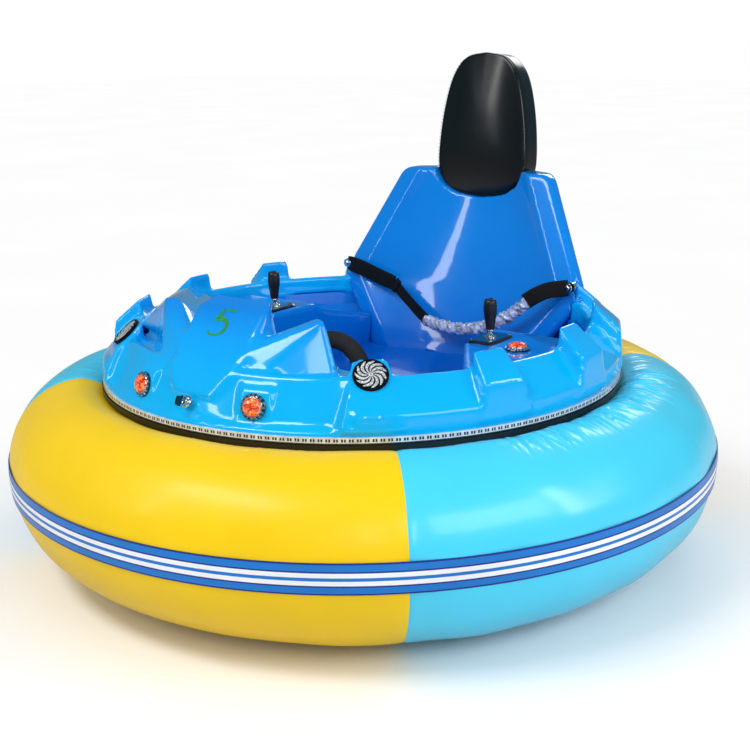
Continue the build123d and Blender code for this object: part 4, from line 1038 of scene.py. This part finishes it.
def build_headrest():
    outline = rest_outline()
    middle = (REST_LOW_Z + REST_HIGH_Z) / 2
    lean = math.radians(REST_LEAN)

    def place(x, y, z):
        rise = z - REST_LOW_Z
        return Vector((x, REST_FRONT_Y + y * math.cos(lean) + rise * math.sin(lean),
                       REST_LOW_Z - y * math.sin(lean) + rise * math.cos(lean)))

    # rings from the middle of the front panel, over its padded edge, down the side to the back
    rings = []
    for share in np.linspace(0.06, 0.97, 16):
        swell = 0.016 * (1 - share ** 2.6)
        rings.append((share, 0.006 - swell * 0.95))
    rings += [(0.984, 0.006), (0.993, 0.0085), (0.9975, 0.012), (0.988, 0.015), (0.9985, 0.018), (1.0, 0.026)]
    rings += [(1.0, y) for y in np.linspace(0.034, REST_THICK - 0.01, 7)]
    rings += [(0.992, REST_THICK - 0.004), (0.97, REST_THICK)]
    rings += [(share, REST_THICK) for share in (0.8, 0.5, 0.2)]
    rng = random.Random(5)
    waves = [(rng.uniform(6, 22), rng.uniform(6, 18), rng.uniform(0, 6.28), rng.uniform(0.0001, 0.0003))
             for _ in range(10)]
    verts = []
    for share, depth in rings:
        for x, z in outline:
            px, pz = x * share, middle + (z - middle) * share
            soft = sum(a * math.sin(px * k + pz * m + p) for k, m, p, a in waves)
            verts.append(place(px, depth - soft * (1 if share < 0.97 and depth < 0.02 else 0.3), pz))
    made = piece("headrest_pad", verts, ring_faces(len(rings), len(outline)), "leather", "headrest",
                 crease=0)
    smooth = made.modifiers.new("smooth", "SUBSURF")
    smooth.levels = smooth.render_levels = 1
    # the row of stitches beside the seam
    stitches = []
    seam = [(x * STITCH_AT, middle + (z - middle) * STITCH_AT) for x, z in outline]
    route = [place(x, -0.0002, z) for x, z in seam] + [place(seam[0][0], -0.0002, seam[0][1])]
    for a, b in zip(route, route[1:]):
        steps = max(int((b - a).length / STITCH_PITCH), 1)
        for s in range(steps):
            p, q = a.lerp(b, (s + 0.15) / steps), a.lerp(b, (s + 0.75) / steps)
            across = (q - p).cross(Vector((0, -1, 0))).normalized() * 0.0004
            out = Vector((0, -0.0007, 0))
            plan = [p - across, p + across, q + across, q - across]
            stitches.append((plan + [corner + out for corner in plan], STITCH_FACES))
    piece("headrest_stitches", *gathered(stitches), "grip")


finish_nodes()
moulding = build_moulding()
for hand, way in (("left", 1), ("right", -1)):
    build_pod(hand, way)
    build_joystick(hand, way)
    build_fan(hand, way)
piece("stick_metal", *gathered(STICK_METAL), "chrome", "joystick_shafts", crease=30)
build_seat_back()
build_ring()
build_lamps()
build_key()
build_hoop_foam()
build_belts()
build_headrest()
build_five(moulding)


# ---- stage, light and camera
FLOOR_FADE = (0.95, 1.75)


def build_stage():
    bpy.ops.mesh.primitive_plane_add(size=60.0, location=(0, 0, 0))
    floor = bpy.context.object
    floor.name = "floor"
    look = Look("floor", roughness=0.9, specular_ior_level=0.1)
    path = look.node("LightPath")
    drift = look.noise(0.8, 3.0)
    seen = look.ramp(drift, (0.3, (252, 252, 253)), (0.7, (255, 255, 255)))
    lit = look.ramp(drift, (0.3, (214, 214, 216)), (0.7, (222, 222, 224)))
    look.wire(base_color=look.mix(path.outputs["Is Camera Ray"], lit, seen))
    # away from the car the camera sees plain white paper, up to the horizon
    away = look.node("VectorMath", {0: look.place}, operation="LENGTH").outputs["Value"]
    fade = look.node("MapRange", {"Value": away, "From Min": FLOOR_FADE[0], "From Max": FLOOR_FADE[1]},
                     interpolation_type="SMOOTHSTEP").outputs["Result"]
    fade = look.math("MULTIPLY", fade, path.outputs["Is Camera Ray"])
    paper = look.node("Emission", {"Color": seen, "Strength": 1.0}).outputs[0]
    both = look.node("MixShader", {0: fade, 1: look.shader.outputs[0], 2: paper})
    look.tree.links.new(both.outputs[0], look.tree.nodes["Material Output"].inputs["Surface"])
    floor.data.materials.append(look.material)


# How bright the white room is to the camera, to surfaces and in reflections, and their tint
ROOM_SEEN, ROOM_FILL, ROOM_MIRRORED = 1.0, 0.41, 0.3
MIRRORED_TINT = (0.42, 0.78, 1.0, 1.0)


def build_world():
    world = bpy.data.worlds.new("studio")
    bpy.context.scene.world = world
    world.use_nodes = True
    tree = world.node_tree
    background = tree.nodes["Background"]
    path = tree.nodes.new("ShaderNodeLightPath")

    def between(factor, low, high):
        made = tree.nodes.new("ShaderNodeMapRange")
        tree.links.new(factor, made.inputs["Value"])
        feed(tree, low, made.inputs["To Min"])
        feed(tree, high, made.inputs["To Max"])
        return made.outputs["Result"]

    unseen = between(path.outputs["Is Glossy Ray"], ROOM_FILL, ROOM_MIRRORED)
    tree.links.new(between(path.outputs["Is Camera Ray"], unseen, ROOM_SEEN), background.inputs["Strength"])
    tint = tree.nodes.new("ShaderNodeMix")
    tint.data_type = "RGBA"
    tree.links.new(path.outputs["Is Glossy Ray"], tint.inputs["Factor"])
    colours = [socket for socket in tint.inputs if socket.type == "RGBA"]
    colours[0].default_value = (1.0, 1.0, 1.0, 1.0)
    colours[1].default_value = MIRRORED_TINT
    shade = next(socket for socket in tint.outputs if socket.type == "RGBA")
    tree.links.new(shade, background.inputs["Color"])


# Softboxes: name, place, width, height, watts
SOFTBOXES = (
    ("key", (-0.8, -3.2, 4.2), 2.8, 1.1, 104.0),
    ("left_front", (-2.4, -4.2, 2.9), 0.4, 2.4, 28.0),
    ("front", (3.4, -4.4, 2.6), 0.5, 2.6, 30.0),
    ("right_low", (3.6, -1.2, 2.2), 2.6, 1.4, 42.0),
    ("right_side", (4.2, 0.8, 2.4), 0.6, 2.4, 42.0),
    ("rear", (-0.8, 4.0, 3.0), 2.4, 1.0, 40.0),
)


def build_lights():
    target = Vector((0.0, 0.0, 0.5))
    for name, place, width, height, power in SOFTBOXES:
        data = bpy.data.lights.new(name, "AREA")
        data.shape = "RECTANGLE"
        data.size, data.size_y, data.energy = width, height, power
        light = placed(name, data)
        light.location = place
        light.rotation_mode = "QUATERNION"
        light.rotation_quaternion = (target - Vector(place)).to_track_quat("-Z", "Y")


# The camera stands 37.6 degrees to the driver's left of the nose, 1.45 m up.
CAMERA_BEARING = 37.58
CAMERA_DISTANCE = 3.5795
CAMERA_HEIGHT = 1.4471
CAMERA_PITCH = 0.2638
CAMERA_YAW = 0.0102
CAMERA_ROLL = -0.0184
FOCAL_SHARE = 1283.5 / 750


def build_camera():
    data = bpy.data.cameras.new("camera")
    data.sensor_width = 36.0
    data.lens = 36.0 * FOCAL_SHARE
    data.clip_end = 100.0
    camera = placed("camera", data)
    bearing = math.radians(CAMERA_BEARING)

    def turned(v):
        c, s = math.cos(bearing), math.sin(bearing)
        return Vector((c * v[0] - s * v[1], s * v[0] + c * v[1], v[2]))

    forward = Vector((math.sin(CAMERA_YAW) * math.cos(CAMERA_PITCH),
                      math.cos(CAMERA_YAW) * math.cos(CAMERA_PITCH), -math.sin(CAMERA_PITCH)))
    right = Vector((math.cos(CAMERA_YAW), -math.sin(CAMERA_YAW), 0.0))
    up = right.cross(forward)
    c, s = math.cos(CAMERA_ROLL), math.sin(CAMERA_ROLL)
    across, above = c * right + s * up, -s * right + c * up
    axes = [turned(v) for v in (across, above, -forward)]
    camera.matrix_world = Matrix.Translation(turned((0.0, -CAMERA_DISTANCE, CAMERA_HEIGHT))) @ \
        Matrix(axes).transposed().to_4x4()
    bpy.context.scene.camera = camera


build_stage()
build_world()
build_lights()
build_camera()
bpy.context.scene.view_settings.view_transform = "Standard"
